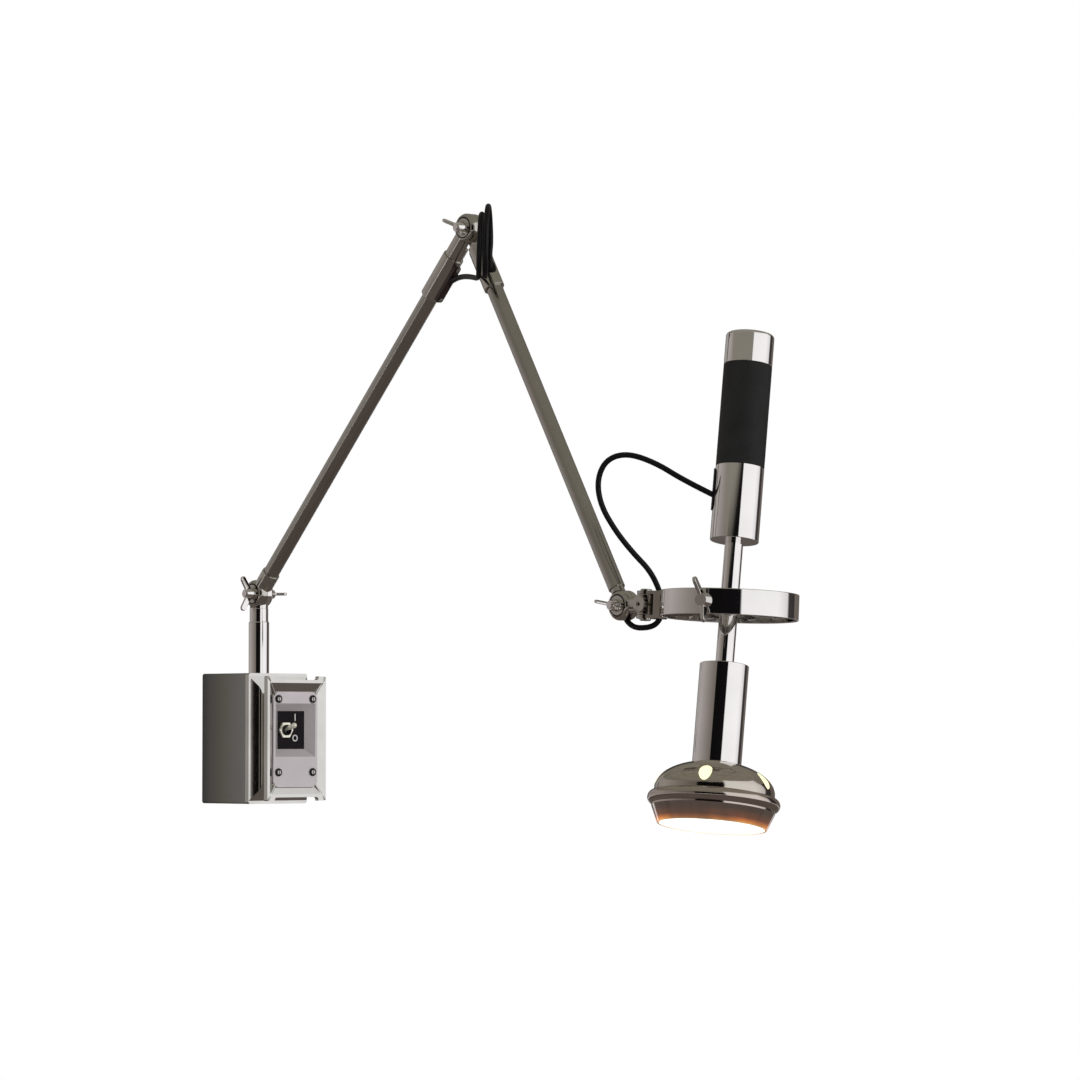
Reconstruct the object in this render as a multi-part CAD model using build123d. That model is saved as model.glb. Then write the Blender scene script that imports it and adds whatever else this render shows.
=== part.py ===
from build123d import *
import math
import os

os.makedirs("parts", exist_ok=True)

# A wall spotlight: a switch box, a swivel post, two arms with wing nut
# knuckles, a gimbal ring and a head with a long handle above a round shade.
# Millimetres. The wall is the plane y = 0, the room is towards -Y, +Z is up.
# The origin is the centre of the box's back.

# Clearances
ease = 0.05
rim_gap = 0.1
seat_gap = 0.2
overrun = 60.0

# Switch box
box_w = 72.0
box_h = 124.0
box_wall = 2.2
box_back = 2.5
box_corner = 2.5
shell_depth = 65.0
pillar_r = 4.0
pillar_screw_r = 1.7
wall_hole_r = 2.25
wall_hole_pitch = 60.0
supply_z = -12.0
supply_hole_r = 8.0
grommet_lip = 2.0
grommet_lip_t = 1.5
grommet_bore_r = 3.2

# Cover casting
flange_t = 5.0
cover_depth = 33.0
frame_t = 5.0
frame_h = 118.0
frame_corner = 1.6
cove_wall_share = 0.4
cove_round = 3.4
cover_wall = 3.2
screw_land = 3.6
lip_w = 3.0
dish_depth = 3.0
seat_floor = 3.0
ridge_r = 1.3
notch_w = 54.0
notch_depth = 3.4
notch_round = 2.6

# Face plate
plate_w = 54.0
plate_h = 90.0
plate_t = 2.0
plate_seat = 1.0
plate_chamfer = 4.5
plate_drop = 1.0
screw_pitch_x = 42.0
screw_top_z = 37.4
screw_low_z = -31.9
plate_screw_r = 1.6
plate_head_r = 3.8
plate_head_h = 1.6
plate_slot_w = 0.9
plate_slot_depth = 0.7
plate_screw_reach = 40.0

# Bevelled window in the face plate
window_w = 33.0
window_h = 36.0
window_z = 8.0
bevel_w = 8.0
bevel_h = 7.2
bevel_depth = 7.0
bevel_wall = 1.2
panel_t = 1.5
panel_margin = 2.0

# Toggle switch
toggle_x = -7.0
switch_w = 16.0
switch_h = 28.0
switch_depth = 22.0
bush_r = 5.0
bush_len = 6.0
bush_bore_r = 2.5
bush_flare_r = 4.3
nut_af = 14.0
nut_t = 2.2
lever_r = 1.5
lever_tip_r = 2.6
lever_len = 15.0
lever_ball_r = 2.4
lever_pin_r = 0.8
lever_pin_half = 3.6
lever_tilt = 17.0
mark_x = 5.0
mark_z = 10.2
mark_rise = 9.8
mark_t = 0.4
mark_stroke = 1.0
mark_ring_r = 3.2
mark_bar_len = 6.6

# Electrics inside the box
driver_depth = 24.0
driver_side_gap = 5.8
driver_low_gap = 0.3
driver_top_gap = 0.6
driver_round = 1.5
terminal_w = 34.0
terminal_h = 11.0
terminal_depth = 14.0
terminal_z = 14.0
terminal_ways = 3
box_wire_rise = 14.0

# Post
post_y = -41.0
post_r = 9.8
post_top_z = 111.5
post_bore_r = 5.1
spigot_r = 7.0
post_nut_af = 19.0
post_nut_t = 5.0
spigot_below = 1.6
stem_r = 8.9
stem_pin_r = 5.0
stem_bore_r = 3.0
clip_r = 7.2
clip_t = 1.2
clip_seat_depth = 0.8
wire_r = 2.2

# Knuckles
drum_r = 13.25
drum_half = 8.8
drum_round = 4.2
lap_half = 0.15
bolt_r = 3.0
bolt_head_r = 5.6
bolt_head_h = 3.4
bolt_head_round = 2.4
neck_r = 8.7
knuckle_gap = 0.4
relief_low = drum_r + knuckle_gap
relief_elbow = 21.0
relief_wrist = drum_r + knuckle_gap
thread_past = 1.2

# Wing nuts and wing screws
wing_hub_r = 5.6
wing_hub_top_r = 4.2
wing_hub_h = 8.5
wing_root_r = 3.2
wing_root_x = 3.4
wing_root_z = 4.2
wing_tip_r = 2.9
wing_tip_x = 13.6
wing_tip_z = 10.6
wing_t = 2.6
wing_edge = 0.8
ring_wing_share = 1.22
elbow_wing_turn = -28.0
wrist_wing_turn = -14.0

# Lower arm
shoulder_z = 138.3
lower_len = 444.4
lower_lean = 42.66
tube_r = 7.5
tube_wall = 1.2
ferrule_end = 27.0
ferrule_seat = 18.5
lower_sleeve_r = 9.9
lower_sleeve_from = 32.5
lower_sleeve_to = 79.0
lower_tube_stop = 69.0
sleeve_edge = 0.6
cable_slot_w = 6.4
cable_slot_from = 42.0
cable_slot_to = 63.0

# Cable saddle on the lower sleeve
saddle_from = 35.5
saddle_to = 77.0
saddle_w = 8.0
saddle_proud = 3.4
saddle_round = 1.6
saddle_bore_r = 2.7
saddle_exit_at = 57.0
saddle_slant = 63.4
saddle_screw_r = 1.3
saddle_head_r = 2.2
saddle_head_h = 0.9
saddle_screw_in = 3.4

# Upper arm
upper_len = 402.56
upper_lean = 30.05
upper_sleeve_r = 9.5
upper_sleeve_from = 24.0
upper_sleeve_to = 66.3
upper_tube_stop = 57.0
entry_at = 46.0
entry_inner_at = 53.0
entry_inner_r = 4.8
entry_angle = 112.0
entry_lead = 7.0
entry_hole_r = 3.6
entry_proud = 0.9
entry_flange_r = 5.0
foot_spigot_r = 6.2
foot_spigot_to = 44.0
foot_tube_from = 17.6
chord_at = 8.0
chord_x = 4.4
chord_bore_r = 2.9

# Wrist and pan pivot
barrel_out = 27.3
barrel_r = 8.0
barrel_half = 9.0
eye_neck_w = 15.0
eye_neck_h = 15.0
boss_r = 7.4
boss_out = 9.4
lock_screw_r = 2.5
lock_hex_r = 1.5
lock_hex_depth = 2.4
lug_plate_t = 3.0
lug_w = 15.0
lug_clear = 1.6
pan_pin_r = 3.5
pan_head_r = 5.0
pan_head_h = 1.8
roll_angle = 3.0
pan_angle = 24.4

# Ring
ring_out = 77.4
ring_r = 60.5
ring_t = 3.0
ring_h = 22.5
ring_edge = 0.7
lug_foot_t = 2.4
lug_foot_w = 20.0

# Crossbar and hub
bar_r = 4.6
bar_h = 10.0
bar_wall = 4.0
bar_hole_x = 16.5
bar_hole_y = 14.2
ring_pin_r = 3.0
ring_pin_in = 13.0
ring_wing_turn = 105.0
hub_r = 13.2
hub_h = 17.0
hub_edge = 1.0
hub_pin_r = 2.5
hub_pin_in = 3.8
hub_pin_head_r = 4.0
hub_pin_head_h = 1.2
swing_rest = 7.06

# Head
rod_r = 8.0
rod_wall = 1.5
rod_top = 66.0
rod_low = -60.0
barrel_head_r = 21.25
handle_low = 57.0
handle_top = 122.4
handle_wall = 1.8
handle_floor = 4.5
core_r = 18.2
core_wall = 1.6
core_top = 209.0
grip_low = 122.6
grip_top = 213.6
cap_low = 213.8
cap_top = 242.3
cap_round = 3.2
cap_wall = 3.0
cap_skirt_h = 9.0
handle_edge = 0.6
cable_port_z = 101.5
cable_in_z = 97.0
cable_in_depth = 1.6
cable_port_h = 34.0
cable_port_w = 8.4
cable_port_proud = 1.2
cable_port_lip = 1.6
cable_port_angle = 112.6
lamp_house_top = -52.0
lamp_house_low = -139.2
lamp_house_wall = 2.0
lamp_house_roof = 5.0

# Heat sink and lamp
sink_r = 18.8
sink_core_r = 7.0
sink_low = -136.0
sink_top = -84.0
sink_base_t = 5.0
sink_fins = 12
sink_fin_t = 1.6
sink_wire_r = 3.0
lamp_r = 15.0
lamp_drop = 17.0
lamp_lip = 3.0

# Shade
shade_joint = -139.2
shade_rise = 26.0
shade_r = 52.0
shade_wall = 1.2
shade_mid = -162.6
shade_bore_r = 17.6
bead_mid = -171.4
bead_major = 51.3
bead_minor = 6.0
skirt_top_r = 53.3
skirt_seat = -175.4
skirt_bend = -178.6
skirt_low_r = 47.2
skirt_low = -193.0
skirt_wall = 1.0
lens_lip = 0.5
lens_inset = 0.6
lens_t = 3.0
gasket_w = 2.6
gasket_t = 1.8
vent_count = 5
vent_w = 11.3
vent_l = 18.0
vent_slope = 66.2
vent_first = 189.6
vent_glass_gap = 0.12

# Cables
cable_r = 2.5
run_share = 0.45
saddle_inside = 3.0
saddle_lead = 11.0
elbow_lead = [(-6.0, -6.0, -44.5), (2.0, -26.0, -47.0)]
coil_turn = 43.0
coil_points = 8
coil_last = 14
coil_start = 8.6
coil_pitch = 5.8
coil_slant = 0.6
coil_ahead = 48.0
coil_half_d = 16.0
coil_grow = 6.0
coil_bottom = -51.0
coil_top_from = 6.0
coil_top_step = 7.5
chord_inside = 6.0
chord_lead = 7.0
head_points = [
    (9.0, -24.0, -20.0),
    (15.2, -30.1, -13.0),
    (15.9, -31.5, 0.0),
    (13.8, -30.8, 12.4),
    (6.2, -26.3, 30.2),
    (-6.1, -17.6, 45.5),
    (-18.6, -8.6, 64.6),
    (-29.6, -1.2, 87.2),
    (-33.2, -0.5, 108.9),
    (-28.8, -7.3, 126.7),
    (-16.8, -21.3, 132.3),
    (-0.4, -40.6, 123.4),
    (15.6, -59.0, 108.0),
]

deg = math.radians


def rod_z(radius, low, high):
    return Pos(0, 0, low) * Cylinder(radius, high - low, align=(Align.CENTER, Align.CENTER, Align.MIN))


def rod_x(radius, low, high):
    return Pos(low, 0, 0) * Rot(0, 90, 0) * rod_z(radius, 0, high - low)


def rod_y(radius, low, high):
    return Pos(0, low, 0) * Rot(-90, 0, 0) * rod_z(radius, 0, high - low)


def hexagon(across, low, high):
    outline = RegularPolygon(across / math.sqrt(3), 6)
    return Pos(0, 0, low) * extrude(outline, high - low)


def slab(w, d, h, x=0, y=0, z=0):
    return Pos(x, y, z) * Box(w, d, h)


def at(plane, piece):
    return plane.location * piece


def save(piece, name, colour=None):
    piece.label = name
    export_step(piece, f"parts/{name}.step")
    return piece


# Frames of the moving groups
shoulder = Vector(0, post_y, shoulder_z)
lower_dir = Vector(0, -math.sin(deg(lower_lean)), math.cos(deg(lower_lean)))
elbow = shoulder + lower_dir * lower_len
upper_dir = Vector(0, -math.sin(deg(upper_lean)), -math.cos(deg(upper_lean)))
wrist = elbow + upper_dir * upper_len

stem_plane = Plane(origin=shoulder, x_dir=(1, 0, 0), z_dir=(0, 0, -1))
lower_foot_plane = Plane(origin=shoulder, x_dir=(1, 0, 0), z_dir=lower_dir)
lower_head_plane = Plane(origin=elbow, x_dir=(1, 0, 0), z_dir=-lower_dir)
upper_head_plane = Plane(origin=elbow, x_dir=(1, 0, 0), z_dir=upper_dir)
upper_foot_plane = Plane(origin=wrist, x_dir=(1, 0, 0), z_dir=-upper_dir)
eye_plane = Plane(origin=wrist, x_dir=(1, 0, 0), z_dir=(0, -1, 0))

roll_x = Vector(math.cos(deg(roll_angle)), 0, -math.sin(deg(roll_angle)))
ring_axis = Vector(math.sin(deg(roll_angle)), 0, math.cos(deg(roll_angle)))
ring_ahead = roll_x * math.sin(deg(pan_angle)) - Vector(0, 1, 0) * math.cos(deg(pan_angle))
ring_side = roll_x * math.cos(deg(pan_angle)) + Vector(0, 1, 0) * math.sin(deg(pan_angle))
pan_centre = wrist + Vector(0, -barrel_out, 0)
ring_centre = pan_centre + ring_ahead * ring_out
barrel_plane = Plane(origin=pan_centre, x_dir=roll_x, z_dir=ring_axis)
pan_plane = Plane(origin=pan_centre, x_dir=ring_side, z_dir=ring_axis)
ring_plane = Plane(origin=ring_centre, x_dir=ring_side, z_dir=ring_axis)
head_axis = ring_axis * math.cos(deg(swing_rest)) + ring_side * math.sin(deg(swing_rest))
head_side = ring_side * math.cos(deg(swing_rest)) - ring_axis * math.sin(deg(swing_rest))
head_plane = Plane(origin=ring_centre, x_dir=head_side, z_dir=head_axis)


# Switch box
def make_box_shell():
    outer = slab(box_w, shell_depth, box_h, 0, -shell_depth / 2)
    outer = fillet(outer.edges().filter_by(Axis.Y), box_corner)
    inner = slab(box_w - 2 * box_wall, shell_depth, box_h - 2 * box_wall, 0, -shell_depth / 2 - box_back)
    shell = outer - inner
    for x in (-screw_pitch_x / 2, screw_pitch_x / 2):
        for z in (screw_top_z, screw_low_z):
            shell += Pos(x, 0, z) * rod_y(pillar_r, -shell_depth, -box_back)
            shell -= Pos(x, 0, z) * rod_y(pillar_screw_r, -shell_depth - overrun, -box_back - box_back)
    for z in (-wall_hole_pitch / 2, wall_hole_pitch / 2):
        shell -= Pos(0, 0, z) * rod_y(wall_hole_r, -box_back - box_back, box_back)
    shell -= Pos(0, 0, supply_z) * rod_y(supply_hole_r, -box_back - box_back, box_back)
    shell -= Pos(0, post_y, 0) * rod_z(spigot_r + ease, 0, box_h)
    return shell


def make_supply_grommet():
    body = rod_y(supply_hole_r - ease, -box_back, 0)
    body += rod_y(supply_hole_r + grommet_lip, -box_back - grommet_lip_t, -box_back)
    body -= rod_y(grommet_bore_r, -overrun, overrun)
    return Pos(0, 0, supply_z) * body


def make_driver():
    """The driver lies on the box's lower wall, below the two lower pillars."""
    low = -box_h / 2 + box_wall + driver_low_gap
    top = screw_low_z - pillar_r - driver_top_gap
    body = slab(box_w - 2 * box_wall - 2 * driver_side_gap, driver_depth, top - low)
    body = fillet(body.edges().filter_by(Axis.Y), driver_round)
    return Pos(0, -box_back - driver_depth / 2, (top + low) / 2) * body


def terminal_ways_x():
    pitch = terminal_w / (terminal_ways + 1)
    return [pitch * (k - (terminal_ways - 1) / 2) for k in range(terminal_ways)]


def make_terminal_block():
    back = -box_back
    body = slab(terminal_w, terminal_depth, terminal_h, 0, back - terminal_depth / 2, terminal_z)
    for x in terminal_ways_x():
        body -= Pos(x, back - terminal_depth / 2, terminal_z) * rod_z(wire_r + ease, -terminal_h, terminal_h)
    return body


# Cover casting: a flange, a coved neck and a dished front frame with eared corners
def cover_front():
    return -shell_depth - cover_depth


def dish_floor():
    return cover_front() + dish_depth


def neck_half_width():
    return screw_pitch_x / 2 + screw_land


def neck_half_height():
    return screw_top_z + screw_land


def cove_face(depth):
    """The cove's section: forward from the flange, and inward."""
    length = cover_depth - flange_t - frame_t
    corners = [(0, -frame_t), (0, 0), (cove_wall_share * depth, depth), (length, depth), (length, -frame_t)]
    face = make_face(Polyline(*corners, close=True))
    return fillet([v for v in face.vertices() if v.Y > depth / 2], cove_round)


def cover_coves():
    """Coves cut along all four sides between the flange and the frame."""
    back = -shell_depth - flange_t
    upright = cove_face(box_w / 2 - neck_half_width())
    level = cove_face(frame_h / 2 - neck_half_height())
    cutters = []
    for side in (-1, 1):
        edge = Plane(origin=(side * box_w / 2, back, 0), x_dir=(0, -1, 0), z_dir=(0, 0, -side))
        cutters.append(extrude(edge * upright, box_h, both=True))
        edge = Plane(origin=(0, back, side * frame_h / 2), x_dir=(0, -1, 0), z_dir=(side, 0, 0))
        cutters.append(extrude(edge * level, box_w, both=True))
    return cutters


def frame_dish():
    """The sloped tray that the face plate sits in."""
    near = Plane(origin=(0, cover_front(), 0), x_dir=(1, 0, 0), z_dir=(0, 1, 0))
    far = Plane(origin=(0, dish_floor(), -plate_drop), x_dir=(1, 0, 0), z_dir=(0, 1, 0))
    lip_h = frame_h - 2 * notch_depth - 2 * lip_w
    return loft([near * Rectangle(box_w - 2 * lip_w, lip_h), far * Rectangle(plate_w, plate_h)])


def corner_ridges():
    """Round beads from the face plate's corners up to the ears."""
    beads = []
    for side_x in (-1, 1):
        for side_z in (-1, 1):
            low_x = side_x * (plate_w - plate_chamfer) / 2
            low_z = side_z * (plate_h - plate_chamfer) / 2 - plate_drop
            ear_x = side_x * (box_w - lip_w) / 2
            ear_z = side_z * (frame_h - lip_w) / 2
            start = Vector(low_x, dish_floor(), low_z)
            end = Vector(ear_x, cover_front() + ridge_r / 2, ear_z)
            beads.append(bore_between(start, end, ridge_r, 0, 0))
            beads.append(Pos(ear_x, end.Y, ear_z) * Sphere(ridge_r))
    return beads


def cover_room():
    """The space inside the neck for the switch."""
    top = screw_top_z - screw_land
    low = screw_low_z + screw_land
    w = 2 * (neck_half_width() - cover_wall)
    front = dish_floor() + plate_seat + seat_floor
    back = -shell_depth
    return slab(w, back - front, top - low, 0, (back + front) / 2, (top + low) / 2)


def make_cover():
    back = -shell_depth
    front = cover_front()
    flange = slab(box_w, flange_t, box_h, 0, back - flange_t / 2)
    flange = fillet(flange.edges().filter_by(Axis.Y), box_corner)
    body = slab(box_w, cover_depth - flange_t, frame_h, 0, (back - flange_t + front) / 2)
    body = fillet(body.edges().filter_by(Axis.Y), frame_corner)
    for cutter in cover_coves():
        body -= cutter
    for side in (-1, 1):
        notch = slab(notch_w, frame_t + frame_t, 2 * notch_depth, 0, front, side * frame_h / 2)
        inner_edges = notch.edges().filter_by(Axis.Y).group_by(Axis.Z)[0 if side > 0 else -1]
        body -= fillet(inner_edges, notch_round)
    body -= frame_dish()
    for bead in corner_ridges():
        body += bead
    casting = flange + body - cover_room()
    casting -= bevel_block(2 * bevel_wall + 2 * seat_gap)
    plate_room = face_outline(plate_w + 2 * rim_gap, plate_h + 2 * rim_gap, front - plate_t, dish_floor() + plate_seat)
    casting -= plate_room
    for x in (-screw_pitch_x / 2, screw_pitch_x / 2):
        for z in (screw_top_z, screw_low_z):
            casting -= Pos(x, 0, z) * rod_y(plate_screw_r + ease, front - frame_t, back + flange_t)
    return casting


def face_outline(w, h, y_front, y_back):
    outline = chamfer(Rectangle(w, h).vertices(), plate_chamfer)
    block = extrude(Plane.XZ * outline, -(y_back - y_front))
    return Pos(0, y_front, -plate_drop) * block


def plate_front():
    return dish_floor() + plate_seat - plate_t


def frustum(front_w, front_h, back_w, back_h, y_front, y_back):
    near = Plane(origin=(0, y_front, window_z), x_dir=(1, 0, 0), z_dir=(0, 1, 0)) * Rectangle(front_w, front_h)
    far = Plane(origin=(0, y_back, window_z), x_dir=(1, 0, 0), z_dir=(0, 1, 0)) * Rectangle(back_w, back_h)
    return loft([near, far])


def bevel_block(more):
    """The tapered window as a solid, made larger all round."""
    front = plate_front()
    outer_w = window_w + 2 * bevel_w + more
    outer_h = window_h + 2 * bevel_h + more
    return frustum(outer_w, outer_h, window_w + more, window_h + more, front, front + bevel_depth)


def make_face_plate():
    front = plate_front()
    plate = face_outline(plate_w, plate_h, front, front + plate_t)
    plate += bevel_block(2 * bevel_wall)
    plate -= bevel_block(0)
    for x in (-screw_pitch_x / 2, screw_pitch_x / 2):
        for z in (screw_top_z, screw_low_z):
            plate -= Pos(x, 0, z) * rod_y(plate_screw_r + ease, front - plate_t, front + 2 * plate_t)
    return plate


def make_plate_screws():
    front = plate_front()
    screw = rod_y(plate_screw_r, front, front + plate_screw_reach)
    screw += fillet(
        rod_y(plate_head_r, front - plate_head_h, front).edges().group_by(Axis.Y)[0], plate_head_h / 2
    )
    screw -= slab(plate_slot_w, 2 * plate_slot_depth, 4 * plate_head_r, 0, front - plate_head_h)
    solids = []
    for x in (-screw_pitch_x / 2, screw_pitch_x / 2):
        for z in (screw_top_z, screw_low_z):
            solids.append(Pos(x, 0, z) * screw)
    return Compound(children=solids)


# The dark panel at the bottom of the window, with its switch
def panel_back():
    return plate_front() + bevel_depth + panel_t


def make_switch_panel():
    w = window_w + 2 * panel_margin
    h = window_h + 2 * panel_margin
    panel = slab(w, panel_t, h, 0, panel_back() - panel_t / 2, window_z)
    return panel - Pos(toggle_x, 0, window_z) * rod_y(bush_r + ease, -2 * shell_depth, 0)


def make_switch_marks():
    face = panel_back() - panel_t
    ring = Pos(mark_x, 0, mark_z - mark_rise) * (
        rod_y(mark_ring_r, face - mark_t, face) - rod_y(mark_ring_r - mark_stroke, face - 2 * mark_t, face + mark_t)
    )
    bar = slab(mark_stroke, mark_t, mark_bar_len, mark_x, face - mark_t / 2, mark_z + mark_rise)
    return Compound(children=[ring, bar])


def make_switch_body():
    back = panel_back()
    body = slab(switch_w, switch_depth, switch_h, toggle_x, back + switch_depth / 2, window_z)
    front = back - panel_t
    bush = rod_y(bush_r, front - bush_len + nut_t, back)
    body += Pos(toggle_x, 0, window_z) * bush
    well = rod_y(bush_bore_r, front, back + lever_ball_r)
    flare = Cone(bush_bore_r, bush_flare_r, bush_len, align=(Align.CENTER, Align.CENTER, Align.MIN))
    well += Pos(0, front + ease, 0) * Rot(90, 0, 0) * flare
    pivot_hole = rod_x(lever_pin_r + ease, -lever_pin_half - ease, lever_pin_half + ease)
    return body - Pos(toggle_x, 0, window_z) * well - Pos(*toggle_pivot()) * pivot_hole


def make_toggle_nut():
    face = panel_back() - panel_t
    nut = Rot(90, 0, 0) * hexagon(nut_af, 0, nut_t)
    nut -= rod_y(bush_r + ease, -nut_t - nut_t, nut_t)
    return Pos(toggle_x, face, window_z) * nut


def toggle_pivot():
    return Vector(toggle_x, panel_back() - panel_t + nut_t / 2, window_z)


def make_toggle_lever():
    shaft = Cone(lever_r, lever_tip_r, lever_len, align=(Align.CENTER, Align.CENTER, Align.MIN))
    shaft += Pos(0, 0, lever_len) * Sphere(lever_tip_r)
    shaft += Sphere(lever_ball_r) + rod_x(lever_pin_r, -lever_pin_half, lever_pin_half)
    tilt = Plane(
        origin=toggle_pivot(),
        x_dir=(1, 0, 0),
        z_dir=(0, -math.cos(deg(lever_tilt)), math.sin(deg(lever_tilt))),
    )
    return at(tilt, shaft)


# Post and swivel stem
def spigot_low():
    return box_h / 2 - box_wall - post_nut_t - spigot_below


def make_post():
    body = rod_z(post_r, box_h / 2, post_top_z)
    body = fillet(body.edges().group_by(Axis.Z)[-1], sleeve_edge)
    body += rod_z(spigot_r, spigot_low(), box_h / 2)
    body -= rod_z(post_bore_r, -box_h, 2 * post_top_z)
    return Pos(0, post_y, 0) * body


def make_post_nut():
    top = box_h / 2 - box_wall
    nut = hexagon(post_nut_af, top - post_nut_t, top) - rod_z(spigot_r + ease, 0, box_h)
    return Pos(0, post_y, 0) * nut


def half_drum(side, radius, neck_to, relief):
    """Half of a lap knuckle about the X axis, with its neck along +Z."""
    drum = rod_x(drum_r, lap_half, drum_half)
    drum = fillet(drum.edges().group_by(Axis.X)[-1], drum_round)
    neck = rod_z(radius, 0, neck_to)
    neck -= rod_x(relief, -overrun, lap_half)
    half = drum + neck
    half -= rod_x(bolt_r + ease, -overrun, overrun)
    return half if side > 0 else mirror(half, Plane.YZ)


def make_swivel_stem():
    top = shoulder_z - post_top_z - rim_gap
    low = shoulder_z - spigot_low() + spigot_below + clip_t + clip_t
    stem = half_drum(1, neck_r, relief_low + sleeve_edge, relief_low)
    collar = rod_z(stem_r, relief_low, top)
    stem += fillet(collar.edges().group_by(Axis.Z)[0], sleeve_edge)
    stem += rod_z(stem_pin_r, top, low)
    stem -= rod_z(stem_bore_r, relief_low + sleeve_edge, low + low)
    groove_at = shoulder_z - spigot_low() + rim_gap
    groove = rod_z(clip_r, groove_at, groove_at + clip_t) - rod_z(stem_pin_r - clip_seat_depth, 0, low)
    return at(stem_plane, stem - groove)


def make_stem_clip():
    groove_at = shoulder_z - spigot_low() + rim_gap
    clip = rod_z(clip_r, groove_at, groove_at + clip_t)
    clip -= rod_z(stem_pin_r - clip_seat_depth + ease, 0, 2 * groove_at)
    clip -= slab(clip_r, 2 * clip_r, groove_at * 3, 0, -clip_r - stem_pin_r / 2, groove_at)
    return at(stem_plane, clip)


def make_stem_wire():
    way = terminal_ways_x()[-1]
    back = -box_back - terminal_depth / 2
    route = [
        (way, back, terminal_z),
        (way, back, terminal_z + box_wire_rise),
        (0, post_y, terminal_z + box_wire_rise + wire_r),
        (0, post_y, spigot_low() + box_wire_rise),
    ]
    return tube_along(route, wire_r)


# Wing nuts, wing screws and bolts, along +Z from their seat
def wings(scale):
    root = Pos(wing_root_x * scale, wing_root_z * scale) * Circle(wing_root_r * scale)
    tip = Pos(wing_tip_x * scale, wing_tip_z * scale) * Circle(wing_tip_r * scale)
    outline = make_hull((root + tip).edges())
    wing = extrude(Plane.XZ * outline, wing_t * scale / 2, both=True)
    wing = fillet(wing.edges().filter_by(GeomType.CIRCLE), wing_edge)
    hub = Cone(
        wing_hub_r * scale,
        wing_hub_top_r * scale,
        wing_hub_h * scale,
        align=(Align.CENTER, Align.CENTER, Align.MIN),
    )
    return hub + wing + mirror(wing, Plane.YZ)


def make_wing_nut(turn):
    nut = wings(1) - rod_z(bolt_r + ease, -overrun, overrun)
    return Rot(0, 0, turn) * nut


def make_knuckle_bolt():
    head = rod_z(bolt_head_r, 0, bolt_head_h)
    head = fillet(head.edges().group_by(Axis.Z)[-1], bolt_head_round)
    length = 2 * drum_half + wing_hub_h + thread_past
    return head + rod_z(bolt_r, -length, 0)


def make_wing_bolt(turn):
    length = 2 * drum_half + wing_hub_h + thread_past
    return Rot(0, 0, turn) * wings(1) + rod_z(bolt_r, -length, 0)


def near_face(origin, clear=0):
    return Plane(origin=origin + Vector(-drum_half - clear, 0, 0), x_dir=(0, 1, 0), z_dir=(-1, 0, 0))


def far_face(origin):
    return Plane(origin=origin + Vector(drum_half, 0, 0), x_dir=(0, 1, 0), z_dir=(1, 0, 0))


# Lower arm
def make_lower_foot():
    foot = half_drum(-1, neck_r, ferrule_end, relief_low)
    foot = fillet(foot.edges().group_by(Axis.Z)[-1], sleeve_edge)
    foot -= rod_z(tube_r + ease, ferrule_seat, overrun)
    foot -= rod_z(stem_bore_r, relief_low, overrun)
    return at(lower_foot_plane, foot)


def make_lower_tube():
    tube = rod_z(tube_r, ferrule_seat, lower_len - lower_tube_stop)
    tube -= rod_z(tube_r - tube_wall, 0, 2 * lower_len)
    return at(lower_foot_plane, tube)


def saddle_side():
    """Local +Y of the lower head's plane points to the front and down."""
    return 1


def make_lower_head():
    head = half_drum(-1, neck_r, lower_sleeve_from + sleeve_edge, relief_elbow)
    sleeve = rod_z(lower_sleeve_r, lower_sleeve_from, lower_sleeve_to)
    sleeve = fillet(sleeve.edges().group_by(Axis.Z)[-1], sleeve_edge)
    sleeve = fillet(sleeve.edges().group_by(Axis.Z)[0], sleeve_edge)
    head += sleeve
    head -= rod_z(tube_r + ease, lower_sleeve_from + tube_wall, 2 * lower_sleeve_to)
    slot_mid = (cable_slot_from + cable_slot_to) / 2
    slot_len = cable_slot_to - cable_slot_from
    head -= slab(cable_slot_w, lower_sleeve_r * 2, slot_len, 0, saddle_side() * lower_sleeve_r, slot_mid)
    for z in (saddle_from + saddle_screw_in, saddle_to - saddle_screw_in):
        head -= Pos(0, 0, z) * rod_y(saddle_screw_r + ease, 0, overrun)
    return at(lower_head_plane, head)


def make_cable_saddle():
    length = saddle_to - saddle_from
    mid = (saddle_to + saddle_from) / 2
    top = lower_sleeve_r + saddle_proud
    block = slab(saddle_w, top, length, 0, top / 2, mid)
    block = fillet(block.edges().filter_by(Axis.Y), saddle_w / 2 - sleeve_edge)
    block = fillet(block.edges().group_by(Axis.Y)[-1], saddle_round)
    block -= rod_z(lower_sleeve_r + ease, 0, overrun * 2)
    block -= at(saddle_exit_plane(), rod_z(saddle_bore_r, -overrun, overrun))
    for z in (saddle_from + saddle_screw_in, saddle_to - saddle_screw_in):
        block -= Pos(0, 0, z) * rod_y(saddle_screw_r + ease, 0, overrun)
    return at(lower_head_plane, block)


def saddle_exit_plane():
    """The cable leaves the saddle leaning towards the elbow."""
    out = (0, math.cos(deg(saddle_slant)), -math.sin(deg(saddle_slant)))
    return Plane(origin=(0, lower_sleeve_r, saddle_exit_at), x_dir=(1, 0, 0), z_dir=out)


def make_saddle_screws():
    top = lower_sleeve_r + saddle_proud
    screw = rod_y(saddle_screw_r, tube_r + rim_gap, top)
    head = rod_y(saddle_head_r, top, top + saddle_head_h)
    screw += fillet(head.edges().group_by(Axis.Y)[-1], saddle_head_h / 2)
    solids = []
    for z in (saddle_from + saddle_screw_in, saddle_to - saddle_screw_in):
        solids.append(Pos(0, 0, z) * screw)
    return at(lower_head_plane, Compound(children=solids))


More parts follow.
